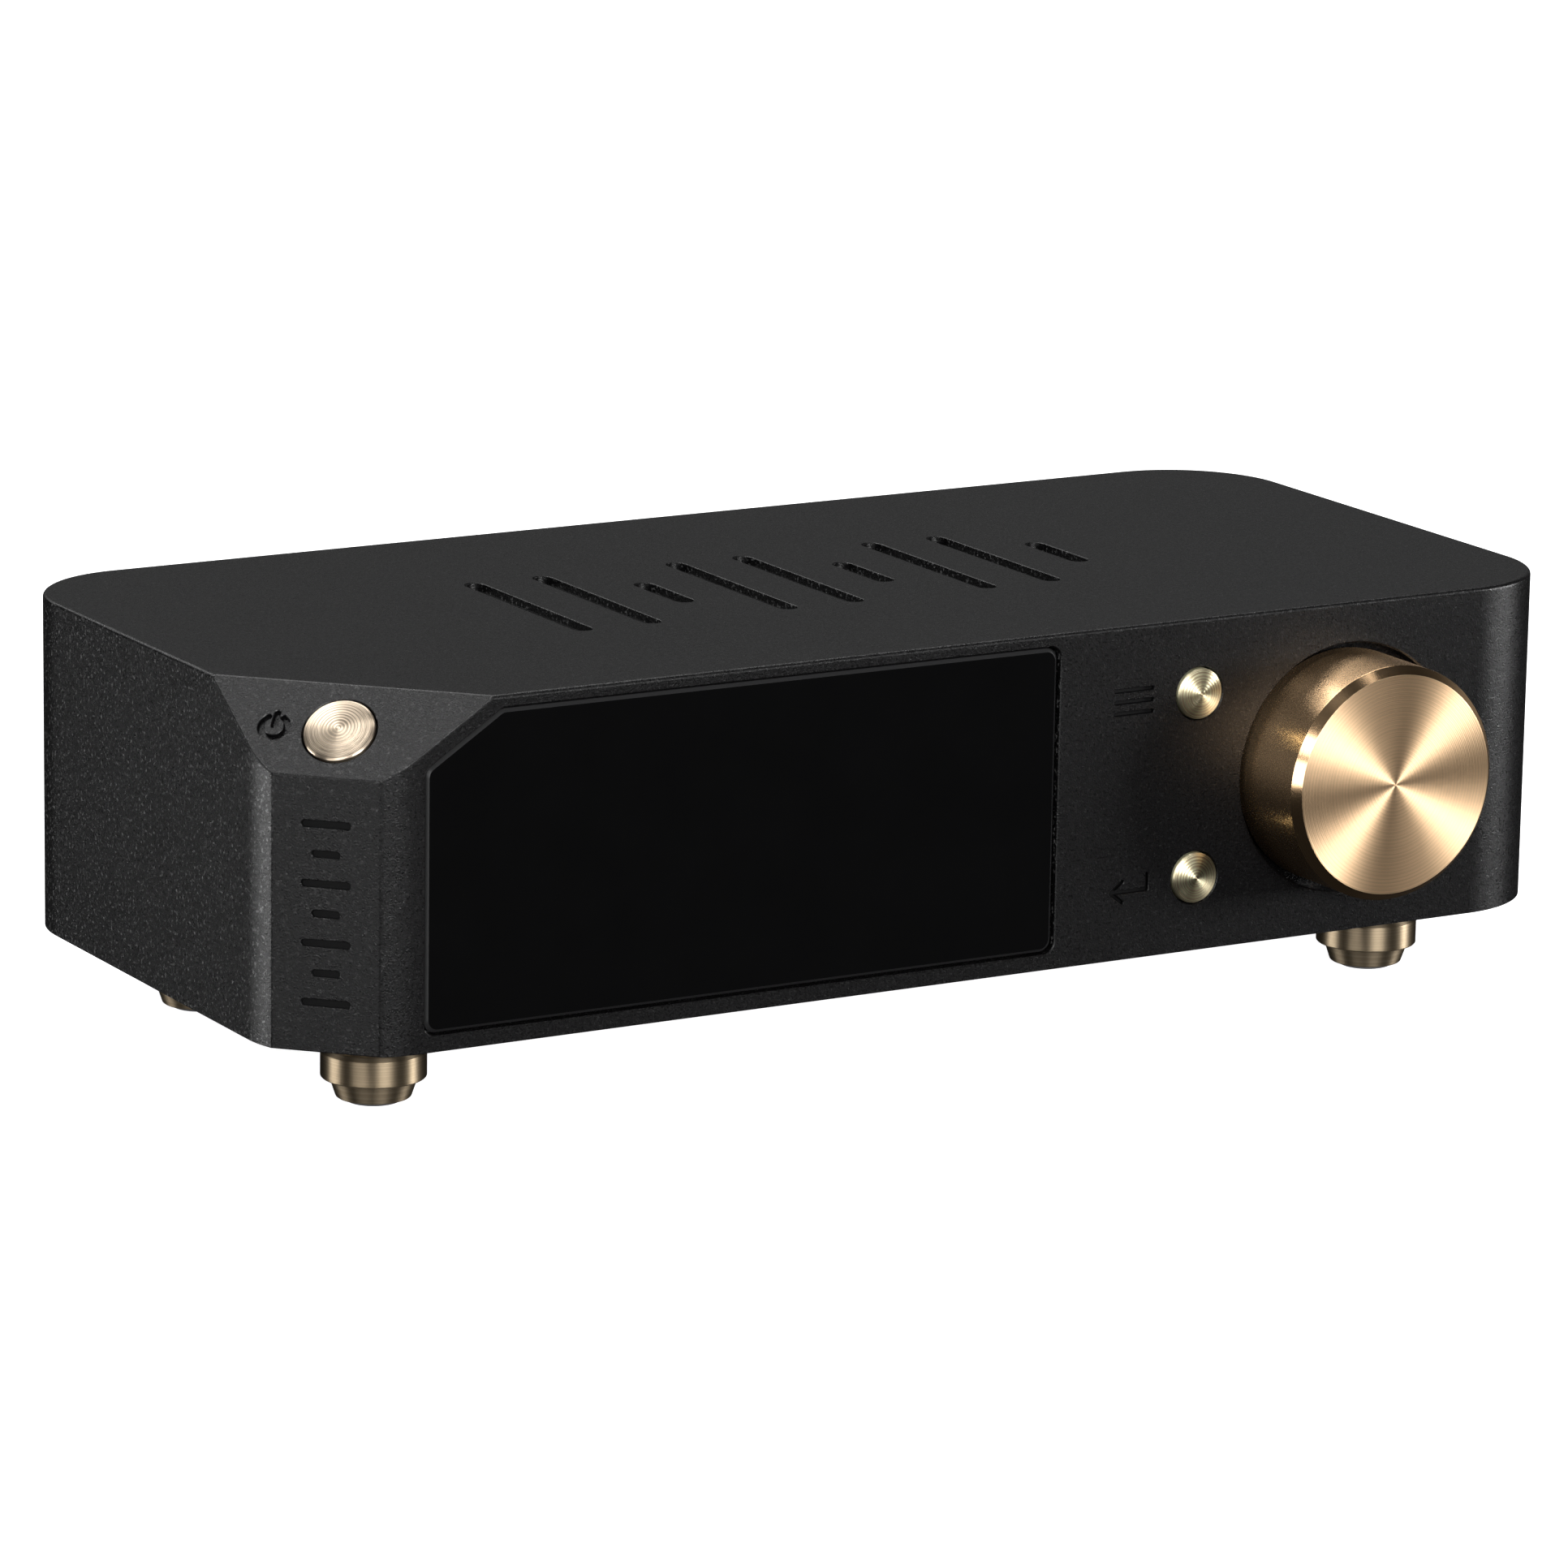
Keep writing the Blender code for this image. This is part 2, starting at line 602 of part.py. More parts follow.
def foot_profile():
    """Stud, neck, chamfered collar, cone and the pocket for the rubber pad."""
    stud = ((0, FOOT_STUD_TOP), (FOOT_STUD_RADIUS - 0.4 * MM, FOOT_STUD_TOP),
            (FOOT_STUD_RADIUS, FOOT_STUD_TOP - 0.4 * MM), (FOOT_STUD_RADIUS, -REST_GAP))
    neck = ((FOOT_NECK_RADIUS, -REST_GAP), (FOOT_NECK_RADIUS, -3.65 * MM))
    collar = ((FOOT_COLLAR_RADIUS - 0.55 * MM, -3.65 * MM), (FOOT_COLLAR_RADIUS, -4.2 * MM),
              (FOOT_COLLAR_RADIUS, -7.25 * MM), (FOOT_COLLAR_RADIUS - 0.15 * MM, -7.4 * MM))
    cone = ((5.4 * MM, -7.4 * MM), (4.6 * MM, -9.75 * MM), (4.45 * MM, -9.88 * MM))
    pocket = ((PAD_RADIUS + REST_GAP, -9.88 * MM), (PAD_RADIUS + REST_GAP, -PAD_POCKET), (0, -PAD_POCKET))
    return stud + neck + collar + cone + pocket


def pad_profile():
    top = -PAD_POCKET - REST_GAP
    return ((0, top), (PAD_RADIUS, top), (PAD_RADIUS, -FOOT_HEIGHT + 0.25 * MM),
            (PAD_RADIUS - 0.25 * MM, -FOOT_HEIGHT), (0, -FOOT_HEIGHT))


def make_feet():
    for name, centre in foot_centres():
        turned(f"foot_{name}", foot_profile(), BASE_FRAME, centre, GOLD_METAL, 20)
        turned(f"foot_pad_{name}", pad_profile(), BASE_FRAME, centre, GREY_RUBBER, 16)


def screw_piece(name, profile, place, centre, socket_radius, socket_depth):
    """A turned screw whose head has a hexagonal socket in its top."""
    screw = turned(name, profile, place, centre, STEEL, 12)
    top = profile[0][1]
    socket = drum(f"{name}_socket", socket_radius, top - socket_depth, top + CUT_OVERRUN, place, centre,
                  steps=6)
    cut(screw, socket)


def countersunk_profile(head, shaft, length):
    rim = -0.2 * MM
    return ((0, 0), (head, 0), (head, rim), (shaft, rim - (head - shaft)), (shaft, -length), (0, -length))


def pan_profile(head, rise, shaft, length):
    return ((0, rise), (head * 0.75, rise), (head, rise * 0.55), (head, 0), (shaft, 0), (shaft, -length),
            (0, -length))


def make_cover_screws():
    """Countersunk screws that come up through the bottom cover."""
    for index, (x, y) in enumerate(column_centres()):
        place = frame(body_point(x, y, 0.1 * MM), RIGHT, -REAR)
        profile = countersunk_profile(2.9 * MM, 1.4 * MM, 9 * MM)
        screw_piece(f"cover_screw_{index + 1}", profile, place, (0, 0), 1.2 * MM, 1.2 * MM)


def make_rear_panel():
    clear = PANEL_CLEARANCE
    low = (PANEL_LEFT + clear, PANEL_BOTTOM + clear)
    high = (BODY_WIDTH - PANEL_LEFT - clear, PANEL_TOP - clear)
    outline = rounded_rectangle(low, high, 1.3 * MM, 3)
    back = -PANEL_FACE - PANEL_THICKNESS
    panel = prism("rear_panel", outline, back, -PANEL_FACE, REAR_FRAME, BLACK_ALUMINIUM)
    for index, centre in enumerate(panel_screw_centres()):
        hole = drum(f"panel_clearance_{index}", 1.6 * MM, -5 * MM, CUT_OVERRUN, REAR_FRAME, centre, steps=16)
        cut(panel, hole)
    for name, x, z, radius in round_sockets():
        cutout = drum(f"{name}_cutout", radius + REST_GAP, -5 * MM, CUT_OVERRUN, REAR_FRAME, (x, z), steps=24)
        cut(panel, cutout)
    for name, x, z, width, height, corner in shaped_sockets():
        outline = centred_rectangle(x, z, width + 2 * REST_GAP, height + 2 * REST_GAP, corner + REST_GAP)
        cut(panel, prism(f"{name}_cutout", outline, -5 * MM, CUT_OVERRUN, REAR_FRAME))


def make_panel_screws():
    for index, centre in enumerate(panel_screw_centres()):
        place = REAR_FRAME @ Matrix.Translation((0, 0, -PANEL_FACE + REST_GAP))
        profile = pan_profile(2 * MM, 1.2 * MM, 1.15 * MM, 5.5 * MM)
        screw_piece(f"panel_screw_{index + 1}", profile, place, centre, 0.9 * MM, 0.7 * MM)


# Display

def make_display():
    glass_outline = window_outline(WINDOW_GROOVE)
    prism("display_window", glass_outline, -GLASS_BACK, -GLASS_FRONT, FRONT_FRAME, BLACK_GLASS, GLASS_BEVEL)
    front = -GLASS_BACK - REST_GAP
    back = -WINDOW_DEPTH + REST_GAP
    gasket = prism("display_gasket", window_outline(0.8 * MM), back, front, FRONT_FRAME, BLACK_PLASTIC)
    low = (WINDOW_LEFT + DISPLAY_MARGIN - 0.3 * MM, WINDOW_BOTTOM + 4.2 * MM)
    high = (WINDOW_RIGHT - 4.6 * MM, WINDOW_TOP - 4 * MM)
    hole = rounded_rectangle(low, high, 1 * MM, 2)
    cut(gasket, prism("gasket_hole", hole, back - CUT_OVERRUN, 0, FRONT_FRAME))
    low = (WINDOW_LEFT + DISPLAY_MARGIN + 0.5 * MM, WINDOW_BOTTOM + 5 * MM)
    high = (WINDOW_RIGHT - 5.4 * MM, WINDOW_TOP - 4.8 * MM)
    module = rounded_rectangle(low, high, 0.8 * MM, 2)
    prism("lcd_module", module, -4.2 * MM, front, FRONT_FRAME, BLACK_PLASTIC)


def make_ribbon():
    """A flat cable that comes down behind the display and runs back along the main board."""
    bend = 4.15 * MM
    start_y = 4.65 * MM
    low_z = PART_Z + 0.25 * MM
    path = [(start_y, low_z + bend + 7 * MM)]
    path += arc_points((start_y + bend, low_z + bend), bend, 180, 270, 8)
    path.append((24 * MM, low_z))
    bm = bmesh.new()
    rows = []
    for x in (52 * MM, 66 * MM):
        rows.append([bm.verts.new((x, y, z)) for y, z in path])
    for index in range(len(path) - 1):
        bm.faces.new((rows[0][index], rows[0][index + 1], rows[1][index + 1], rows[1][index]))
    mesh = bpy.data.meshes.new("display_ribbon")
    bm.to_mesh(mesh)
    bm.free()
    ribbon = add_object("display_ribbon", mesh, BASE_FRAME, COPPER_POLYMER)
    shell = ribbon.modifiers.new("Thickness", "SOLIDIFY")
    shell.thickness = 0.3 * MM
    shell.offset = 0


# Knob and encoder

def knob_profile():
    """Solid turned knob with a polished chamfer and a hollow back that clears the encoder's nut."""
    face = KNOB_OUT
    return ((0, face), (KNOB_RADIUS - 1 * MM, face), (KNOB_RADIUS, face - 1.1 * MM), (KNOB_RADIUS, -1.9 * MM),
            (KNOB_RADIUS - 0.3 * MM, -2.2 * MM), (12.5 * MM, -2.2 * MM), (12.5 * MM, 0.6 * MM),
            (SHAFT_BORE_RADIUS, 0.6 * MM), (SHAFT_BORE_RADIUS, face - 2.4 * MM), (0, face - 2.4 * MM))


def make_knob():
    place = FRONT_FRAME @ Matrix.Translation((KNOB_X, KNOB_Z, 0))
    knob = turned("knob", knob_profile(), place, (0, 0), GOLD_METAL, 48)
    down = frame(body_point(KNOB_X, SET_SCREW_DEPTH, KNOB_Z), RIGHT, -REAR)
    cut(knob, drum("set_screw_hole", 1.65 * MM, 2 * MM, KNOB_RADIUS + CUT_OVERRUN, down, steps=16))
    profile = ((0, 8.4 * MM), (SET_SCREW_RADIUS, 8.4 * MM), (SET_SCREW_RADIUS, 3.9 * MM),
               (0.6 * MM, 3.35 * MM), (0, 3.35 * MM))
    screw_piece("knob_set_screw", profile, down, (0, 0), 0.75 * MM, 1.8 * MM)


def make_encoder():
    place = FRONT_FRAME @ Matrix.Translation((KNOB_X, KNOB_Z, 0))
    half = ENCODER_SIDE / 2
    box_front = -KNOB_BOSS_DEPTH - REST_GAP
    body = block("encoder_body", (-half, -half, -ENCODER_BACK), (half, half, box_front), place, STEEL)
    join(body, drum("encoder_bush", BUSH_RADIUS, box_front - 1 * MM, -0.4 * MM, place, steps=24))
    cut(body, drum("encoder_bore", SHAFT_BORE_RADIUS, -14 * MM, 1 * MM, place, steps=32))
    shaft_profile = ((0, 8.1 * MM), (SHAFT_RADIUS - 0.4 * MM, 8.1 * MM), (SHAFT_RADIUS, 7.7 * MM),
                     (SHAFT_RADIUS, -ENCODER_BACK), (0, -ENCODER_BACK))
    turned("encoder_shaft", shaft_profile, place, (0, 0), STEEL, 32)
    nut = drum("encoder_nut", 5.77 * MM, -2.7 * MM, -0.7 * MM, place, (0, 0), STEEL, 6)
    cut(nut, drum("nut_hole", BUSH_HOLE_RADIUS, -4 * MM, 1 * MM, place, steps=24))
    drum("encoder_plunger", 2.2 * MM, -12.8 * MM, -12.2 * MM, place, (0, 0), BLACK_PLASTIC, 20)


# Buttons and their switches

def button_profile(radius, dome, stem_end):
    """Domed cap, retaining flange behind the wall and stem."""
    rise = [(radius * math.sin(angle), dome * math.cos(angle))
            for angle in (math.radians(degrees) for degrees in range(0, 91, 30))]
    flange_front = -WALL - REST_GAP
    flange_back = flange_front - FLANGE_THICKNESS
    flange = radius + FLANGE_EXTRA
    return rise + [(radius, flange_front), (flange, flange_front), (flange, flange_back),
                   (STEM_RADIUS, flange_back), (STEM_RADIUS, stem_end), (0, stem_end)]


def make_button(name, radius, dome, stem_end, board_front, place):
    """A button cap with the switch body and plunger behind it; depths are negative, into the housing."""
    turned(f"{name}_button", button_profile(radius, dome, stem_end), place, (0, 0), GOLD_METAL, 24)
    back = board_front + REST_GAP
    front = back + SWITCH_HEIGHT
    half = SWITCH_SIDE / 2
    switch = block(f"{name}_switch", (-half, -half, back), (half, half, front), place, BLACK_PLASTIC)
    hole_floor = front - 2.4 * MM
    hole_radius = PLUNGER_RADIUS + 0.35 * MM
    cut(switch, drum(f"{name}_switch_hole", hole_radius, hole_floor, front + 1 * MM, place, steps=20))
    plunger_front = stem_end - REST_GAP
    drum(f"{name}_plunger", PLUNGER_RADIUS, front - 1.2 * MM, plunger_front, place, (0, 0), STEEL, 20)


def make_front_buttons():
    for name, height in (("menu", MENU_BUTTON_Z), ("return", RETURN_BUTTON_Z)):
        place = FRONT_FRAME @ Matrix.Translation((BUTTON_X, height, 0))
        make_button(name, BUTTON_RADIUS, BUTTON_DOME, -8.1 * MM, -FRONT_BOARD_Y, place)


def make_power_button():
    board_front = -11.2 * MM
    make_button("power", POWER_RADIUS, POWER_DOME, -5.9 * MM, board_front, SLOPE_FRAME)
    board_back = board_front - 1.2 * MM
    outline = rounded_rectangle((-9 * MM, -5 * MM), (9 * MM, 5 * MM), 1 * MM, 3)
    board = prism("power_board", outline, board_back, board_front, SLOPE_FRAME, BOARD_GREEN)
    for index, centre in enumerate(power_post_centres()):
        hole = drum(f"power_board_hole_{index}", 1.1 * MM, -14 * MM, -10 * MM, SLOPE_FRAME, centre, steps=12)
        cut(board, hole)
        under_board = SLOPE_FRAME @ Vector((centre[0], centre[1], board_back - REST_GAP))
        place = frame(under_board, FACET_RIGHT, -SLOPE_UP)
        profile = pan_profile(1.6 * MM, 1 * MM, 0.75 * MM, 5 * MM)
        screw_piece(f"power_board_screw_{index + 1}", profile, place, (0, 0), 0.7 * MM, 0.5 * MM)


# Boards and what they carry

def make_front_board():
    low = (114 * MM, 6 * MM)
    high = (162 * MM, 37 * MM)
    outline = rounded_rectangle(low, high, 1.5 * MM, 3)
    back = -FRONT_BOARD_Y - BOARD_THICKNESS
    prism("front_board", outline, back, -FRONT_BOARD_Y, FRONT_FRAME, BOARD_GREEN)


def make_main_board():
    outline = rounded_rectangle((17 * MM, 18 * MM), (163 * MM, 76 * MM), 2 * MM, 3)
    board = prism("main_board", outline, MAIN_BOARD_Z, MAIN_BOARD_TOP, BASE_FRAME, BOARD_GREEN)
    for index, centre in enumerate(standoff_centres()):
        hole = drum(f"board_hole_{index}", 1.3 * MM, MAIN_BOARD_Z - CUT_OVERRUN, PART_Z, BASE_FRAME, centre,
                    steps=12)
        cut(board, hole)
        place = BASE_FRAME @ Matrix.Translation((0, 0, PART_Z))
        profile = pan_profile(2.2 * MM, 1.3 * MM, 0.9 * MM, 6 * MM)
        screw_piece(f"board_screw_{index + 1}", profile, place, centre, 0.9 * MM, 0.7 * MM)


def make_board_modules():
    """The converter module with its cooling ribs, the clock's shield can and two supply capacitors."""
    low = (96 * MM, 36 * MM, PART_Z)
    high = (136 * MM, 58 * MM, PART_Z + 4 * MM)
    module = block("converter_module", low, high, BASE_FRAME, BLACK_ALUMINIUM)
    for index in range(6):
        x = (97.5 + 7.3 * index) * MM
        low = (x, 36 * MM, PART_Z + 3 * MM)
        high = (x + 1.6 * MM, 58 * MM, PART_Z + 10 * MM)
        join(module, block(f"rib_{index}", low, high, BASE_FRAME))
    can = rounded_rectangle((72 * MM, 38 * MM), (90 * MM, 56 * MM), 0.8 * MM, 2)
    prism("clock_module", can, PART_Z, PART_Z + 5 * MM, BASE_FRAME, STEEL, 0.4 * MM)
    profile = ((0, 14 * MM), (4.4 * MM, 14 * MM), (5 * MM, 13.4 * MM), (5 * MM, 0), (0, 0))
    place = BASE_FRAME @ Matrix.Translation((0, 0, PART_Z))
    for index in range(2):
        centre = ((38 + 12 * index) * MM, 47 * MM)
        turned(f"supply_capacitor_{index + 1}", profile, place, centre, BLACK_PLASTIC, 24)


# Rear sockets, seen from behind

def round_sockets():
    """Name, centre and barrel radius of each round socket."""
    return (("line_out_right", 26 * MM, 22 * MM, 4.15 * MM), ("line_out_left", 46 * MM, 22 * MM, 4.15 * MM),
            ("coaxial_input", 70 * MM, 22 * MM, 4.15 * MM))


def shaped_sockets():
    """Name, centre, width, height and corner radius of each socket that isn't round."""
    return (("optical_input", 91 * MM, 18 * MM, 10 * MM, 10 * MM, 0.6 * MM),
            ("digital_port", 114 * MM, 15.7 * MM, 15 * MM, 6 * MM, 1 * MM),
            ("data_port", 136 * MM, 14.4 * MM, 9 * MM, 3.3 * MM, 1.6 * MM),
            ("power_port", 154 * MM, 14.4 * MM, 9 * MM, 3.3 * MM, 1.6 * MM))


def centred_rectangle(x, z, width, height, corner):
    return rounded_rectangle((x - width / 2, z - height / 2), (x + width / 2, z + height / 2), corner, 4)


def make_round_sockets():
    """A square base on the board and a barrel with a contact bore."""
    for name, x, z, radius in round_sockets():
        place = REAR_FRAME @ Matrix.Translation((x, z, 0))
        base_front = -PANEL_FACE - PANEL_THICKNESS - REST_GAP
        low = (-5 * MM, PART_Z - z, -16 * MM)
        base = block(name, low, (5 * MM, 5 * MM, base_front), place, JACK_GOLD)
        join(base, drum(f"{name}_barrel", radius, base_front - 1 * MM, JACK_OUT, place, steps=24))
        cut(base, drum(f"{name}_bore", 1.6 * MM, -8 * MM, JACK_OUT + CUT_OVERRUN, place, steps=12))


SOCKET_BACK = -14 * MM
SOCKET_FACE = -0.4 * MM
SHUTTER_WIDTH = 7.6 * MM
SHUTTER_HEIGHT = 7.4 * MM
SHUTTER_THICKNESS = 0.7 * MM
SHUTTER_DEPTH = -2.2 * MM    # of its hinge, from the rear face
SHUTTER_TOP = 3.75 * MM      # above the socket's centre


def make_optical_input():
    name, x, z, width, height, corner = shaped_sockets()[0]
    place = REAR_FRAME @ Matrix.Translation((x, z, 0))
    outline = centred_rectangle(0, 0, width, height, corner)
    socket = prism(name, outline, SOCKET_BACK, SOCKET_FACE, place, BLACK_PLASTIC)
    cavity = centred_rectangle(0, 0, 8.2 * MM, 8.2 * MM, 0.3 * MM)
    cut(socket, prism("optical_cavity", cavity, -12 * MM, CUT_OVERRUN, place))
    low = (-SHUTTER_WIDTH / 2, SHUTTER_TOP - SHUTTER_HEIGHT, SHUTTER_DEPTH - SHUTTER_THICKNESS / 2)
    high = (SHUTTER_WIDTH / 2, SHUTTER_TOP, SHUTTER_DEPTH + SHUTTER_THICKNESS / 2)
    shutter = block("optical_shutter", low, high, place, BLACK_PLASTIC)
    hinge = place @ Matrix.Translation((0, SHUTTER_TOP - SHUTTER_THICKNESS / 2, SHUTTER_DEPTH))
    sideways = hinge @ Matrix.Rotation(math.radians(90), 4, "Y")
    join(shutter, drum("shutter_pin", SHUTTER_THICKNESS / 2, -4.5 * MM, 4.5 * MM, sideways, steps=12))
    pin_hole_radius = SHUTTER_THICKNESS / 2 + 0.15 * MM
    cut(socket, drum("shutter_pin_hole", pin_hole_radius, -4.65 * MM, 4.65 * MM, sideways, steps=12))


def make_ports():
    """Metal shells with a contact tongue in each mouth."""
    for name, x, z, width, height, corner in shaped_sockets()[1:]:
        place = REAR_FRAME @ Matrix.Translation((x, z, 0))
        shell_wall = 0.4 * MM
        outline = centred_rectangle(0, 0, width, height, corner)
        socket = prism(name, outline, SOCKET_BACK, SOCKET_FACE, place, STEEL)
        mouth = centred_rectangle(0, 0, width - 2 * shell_wall, height - 2 * shell_wall, corner - shell_wall)
        cut(socket, prism(f"{name}_mouth", mouth, -9 * MM, CUT_OVERRUN, place))
        half_width = width * 0.37
        half_height = height * 0.13
        low = (-half_width, -half_height, -10 * MM)
        high = (half_width, half_height, -1.6 * MM)
        join(socket, block(f"{name}_tongue", low, high, place))


clear_scene()
PARTS = new_collection("digital_audio_player")
TOOLS = new_collection("cutters")
make_housing()
make_bottom_cover()
make_feet()
make_cover_screws()
make_rear_panel()
make_panel_screws()
make_display()
make_ribbon()
make_knob()
make_encoder()
make_front_buttons()
make_power_button()
make_front_board()
make_main_board()
make_board_modules()
make_round_sockets()
make_optical_input()
make_ports()
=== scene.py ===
"""Looks of the desktop digital audio player: finer pieces, materials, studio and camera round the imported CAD.

A piece's mesh is shaped in millimetres in the frame of the face it belongs to, with local Z out of the face,
and its object carries that frame in metres. Body coordinates are millimetres from the housing's left side,
front face and underside.
"""
import math

import bmesh
import bpy
from mathutils import Matrix, Vector


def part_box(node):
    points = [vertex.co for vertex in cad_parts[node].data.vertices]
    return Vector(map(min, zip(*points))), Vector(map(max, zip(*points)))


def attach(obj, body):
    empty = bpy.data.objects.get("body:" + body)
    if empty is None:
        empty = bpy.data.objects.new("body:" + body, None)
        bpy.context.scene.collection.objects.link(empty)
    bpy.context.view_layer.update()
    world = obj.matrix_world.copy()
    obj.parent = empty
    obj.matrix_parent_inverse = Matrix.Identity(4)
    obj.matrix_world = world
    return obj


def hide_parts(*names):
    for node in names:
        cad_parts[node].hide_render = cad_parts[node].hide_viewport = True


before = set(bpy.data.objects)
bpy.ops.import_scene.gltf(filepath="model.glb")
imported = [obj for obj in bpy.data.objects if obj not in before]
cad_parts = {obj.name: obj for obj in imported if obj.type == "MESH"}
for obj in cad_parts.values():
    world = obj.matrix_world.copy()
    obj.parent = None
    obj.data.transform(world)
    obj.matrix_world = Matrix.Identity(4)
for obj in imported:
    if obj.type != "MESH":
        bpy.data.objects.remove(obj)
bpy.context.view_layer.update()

MM = 0.001
BODY_LOW, BODY_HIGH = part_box("housing")
BODY_WIDTH, BODY_DEPTH, BODY_HEIGHT = (BODY_HIGH - BODY_LOW) / MM

# Housing, in millimetres
CORNER_RADIUS = 15
TOP_CHAMFER = 0.5
WALL = 4
FACET_SUM = 11  # x + y on the upright facet across the front left corner
SLOPE_SUM = 24.9  # x + y where the sloping facet meets the top
SLOPE_FOOT = 33.3  # height where the sloping facet meets the upright facet
EDGE_EASE = 0.14  # rounding of the edges between the facets
RIM_EASE = 0.12  # chamfer round recesses
STROKE_RIM = 0.08  # chamfer round engraved strokes
OVERRUN = 1  # how far a cutter passes an open face
PASSING = 0.03  # how far a cutter's chamfer passes it
SHARP_ANGLE = 38  # degrees, above which an edge is shaded sharp

# Bottom cover and rear panel
COVER_GAP = 1.8
COVER_INSET = 2
COVER_REBATE = 2.5
COVER_THICKNESS = 2.2
COLUMN_TOP = 20
COLUMN_RADIUS = 3.5
COLUMN_BORE = 1.7
COLUMN_INSET = 9
FACET_COLUMN_INSET = 10.5
PANEL_LEDGE = 3
PANEL_FACE = 1
PANEL_THICKNESS = 1.7
PANEL_SIDE = 12  # from the housing's sides to the panel's recess
PANEL_BOTTOM = 4.5
PANEL_TOP = 38.5
PANEL_CORNER = 1.5
PANEL_GAP = 0.2
PANEL_SEAT_SIDE = 4.9  # width of the ledge at the panel's ends
PANEL_SEAT = 2  # and along its top and bottom
PANEL_SCREW_SIDE = 14
PANEL_SCREW_HEIGHTS = (8, 34.6)

# Display window, in the plane of the front face
WINDOW_LEFT = 15.65
WINDOW_RIGHT = 102.9
WINDOW_BOTTOM = 1.97
WINDOW_TOP = 40.8
WINDOW_CUT_X = 10.25
WINDOW_CUT_Z = 6.6
WINDOW_CORNER = 1.6
WINDOW_GROOVE = 0.3
WINDOW_DEPTH = 2.05
DISPLAY_LOW = (WINDOW_LEFT + 6, WINDOW_BOTTOM + 4.5)  # corners of the opening behind the glass
DISPLAY_HIGH = (WINDOW_RIGHT - 4.9, WINDOW_TOP - 4.3)
GLASS_FACE = -0.25
GLASS_BEVEL = 0.4
GLASS_BACK = -1.15

# Turned pieces
KNOB_OUT = 10.8
KNOB_RADIUS = 14.93
KNOB_PITCH = 0.24  # between the turning grooves on its face
KNOB_GROOVE = 0.018
KNOB_CHAMFER = 1
KNOB_CHAMFER_HEIGHT = 1.1
KNOB_RECESS_RADIUS = 15.9
KNOB_RECESS_DEPTH = 3
KNOB_BOSS_RADIUS = 18.4
ENCODER_BORE = 3.8
BUTTON_RADIUS = 3.2
BUTTON_DOME = 0.6
POWER_RADIUS = 4.33
POWER_DOME = 0.7
BUTTON_PITCH = 0.4
BUTTON_GROOVE = 0.03
BUTTON_CLEARANCE = 0.2
BUTTON_BORE_DEPTH = 6
BUTTON_FLANGE = 0.65
BUTTON_STEM = 1.5
FOOT_HEIGHT = 10.4
FOOT_CORNERS = ("front_left", "front_right", "rear_left", "rear_right")

# Engraving
ENGRAVE_DEPTH = 0.4
SYMBOL_DEPTH = 0.6
TOP_ENGRAVE_DEPTH = 1
FRONT_STROKE = 0.5
POWER_STROKE = 0.75
POWER_SYMBOL_X = -8.1  # left of the middle of the sloping facet
POWER_RING = 1.6

# Camera and lights
CAMERA_AZIMUTH = -30.154  # degrees, with 0 looking at the front face
CAMERA_ELEVATION = 13.445
CAMERA_ROLL = 0.942
CAMERA_LENS = 174.61  # millimetres, on a sensor 36 mm wide
CAMERA_DISTANCE = 961.6
CAMERA_AIM = (-1.7, 1.0, 26.4)
LIGHT_DISTANCE = 2  # metres
SURROUND = 0.015  # radiance of the dim world round the object

RIGHT = Vector((1, 0, 0))
REARWARD = Vector((0, 1, 0))
UP = Vector((0, 0, 1))


# Frames

def body_point(x, y, z):
    return BODY_LOW + Vector((x, y, z)) * MM


def face_frame(origin, right, up):
    """A frame with local X along right, local Y along up and local Z out of the face."""
    rotation = Matrix((right, up, right.cross(up))).transposed().to_4x4()
    return Matrix.Translation(origin) @ rotation


def moved(place, x, y, z=0):
    """A frame moved within itself, in millimetres."""
    return place @ Matrix.Translation(Vector((x, y, z)) * MM)


def over_node(face, node):
    """A face's frame moved to the middle of a CAD node, still in the plane of the face."""
    low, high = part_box(node)
    middle = face.inverted() @ ((low + high) / 2) / MM
    return moved(face, middle.x, middle.y)


FRONT = face_frame(body_point(0, 0, 0), RIGHT, UP)
TOP = face_frame(body_point(0, 0, BODY_HEIGHT), RIGHT, REARWARD)
BASE = face_frame(body_point(0, 0, 0), RIGHT, REARWARD)
REAR = face_frame(body_point(BODY_WIDTH, BODY_DEPTH, 0), -RIGHT, UP)
FACET_OUT = Vector((-1, -1, 0)).normalized()
FACET_RIGHT = Vector((1, -1, 0)).normalized()
SLOPE_UP = (UP * (BODY_HEIGHT - SLOPE_FOOT) - FACET_OUT * (SLOPE_SUM - FACET_SUM) / math.sqrt(2)).normalized()
SLOPE_OUT = FACET_RIGHT.cross(SLOPE_UP)
SLOPE_INSET = (SLOPE_SUM + FACET_SUM) / 4
SLOPE_MIDDLE = Vector((SLOPE_INSET, SLOPE_INSET, (BODY_HEIGHT + SLOPE_FOOT) / 2))
SLOPE = face_frame(body_point(*SLOPE_MIDDLE), FACET_RIGHT, SLOPE_UP)
FACET = face_frame(body_point(FACET_SUM / 2, FACET_SUM / 2, 0), FACET_RIGHT, UP)


# Outlines, anticlockwise, in millimetres

CORNER_STEPS = 8


def arc_points(centre, radius, start, end, steps):
    """Points on an arc, with the angles in degrees."""
    points = []
    for step in range(steps + 1):
        angle = math.radians(start + (end - start) * step / max(1, steps))
        points.append((centre[0] + radius * math.cos(angle), centre[1] + radius * math.sin(angle)))
    return points


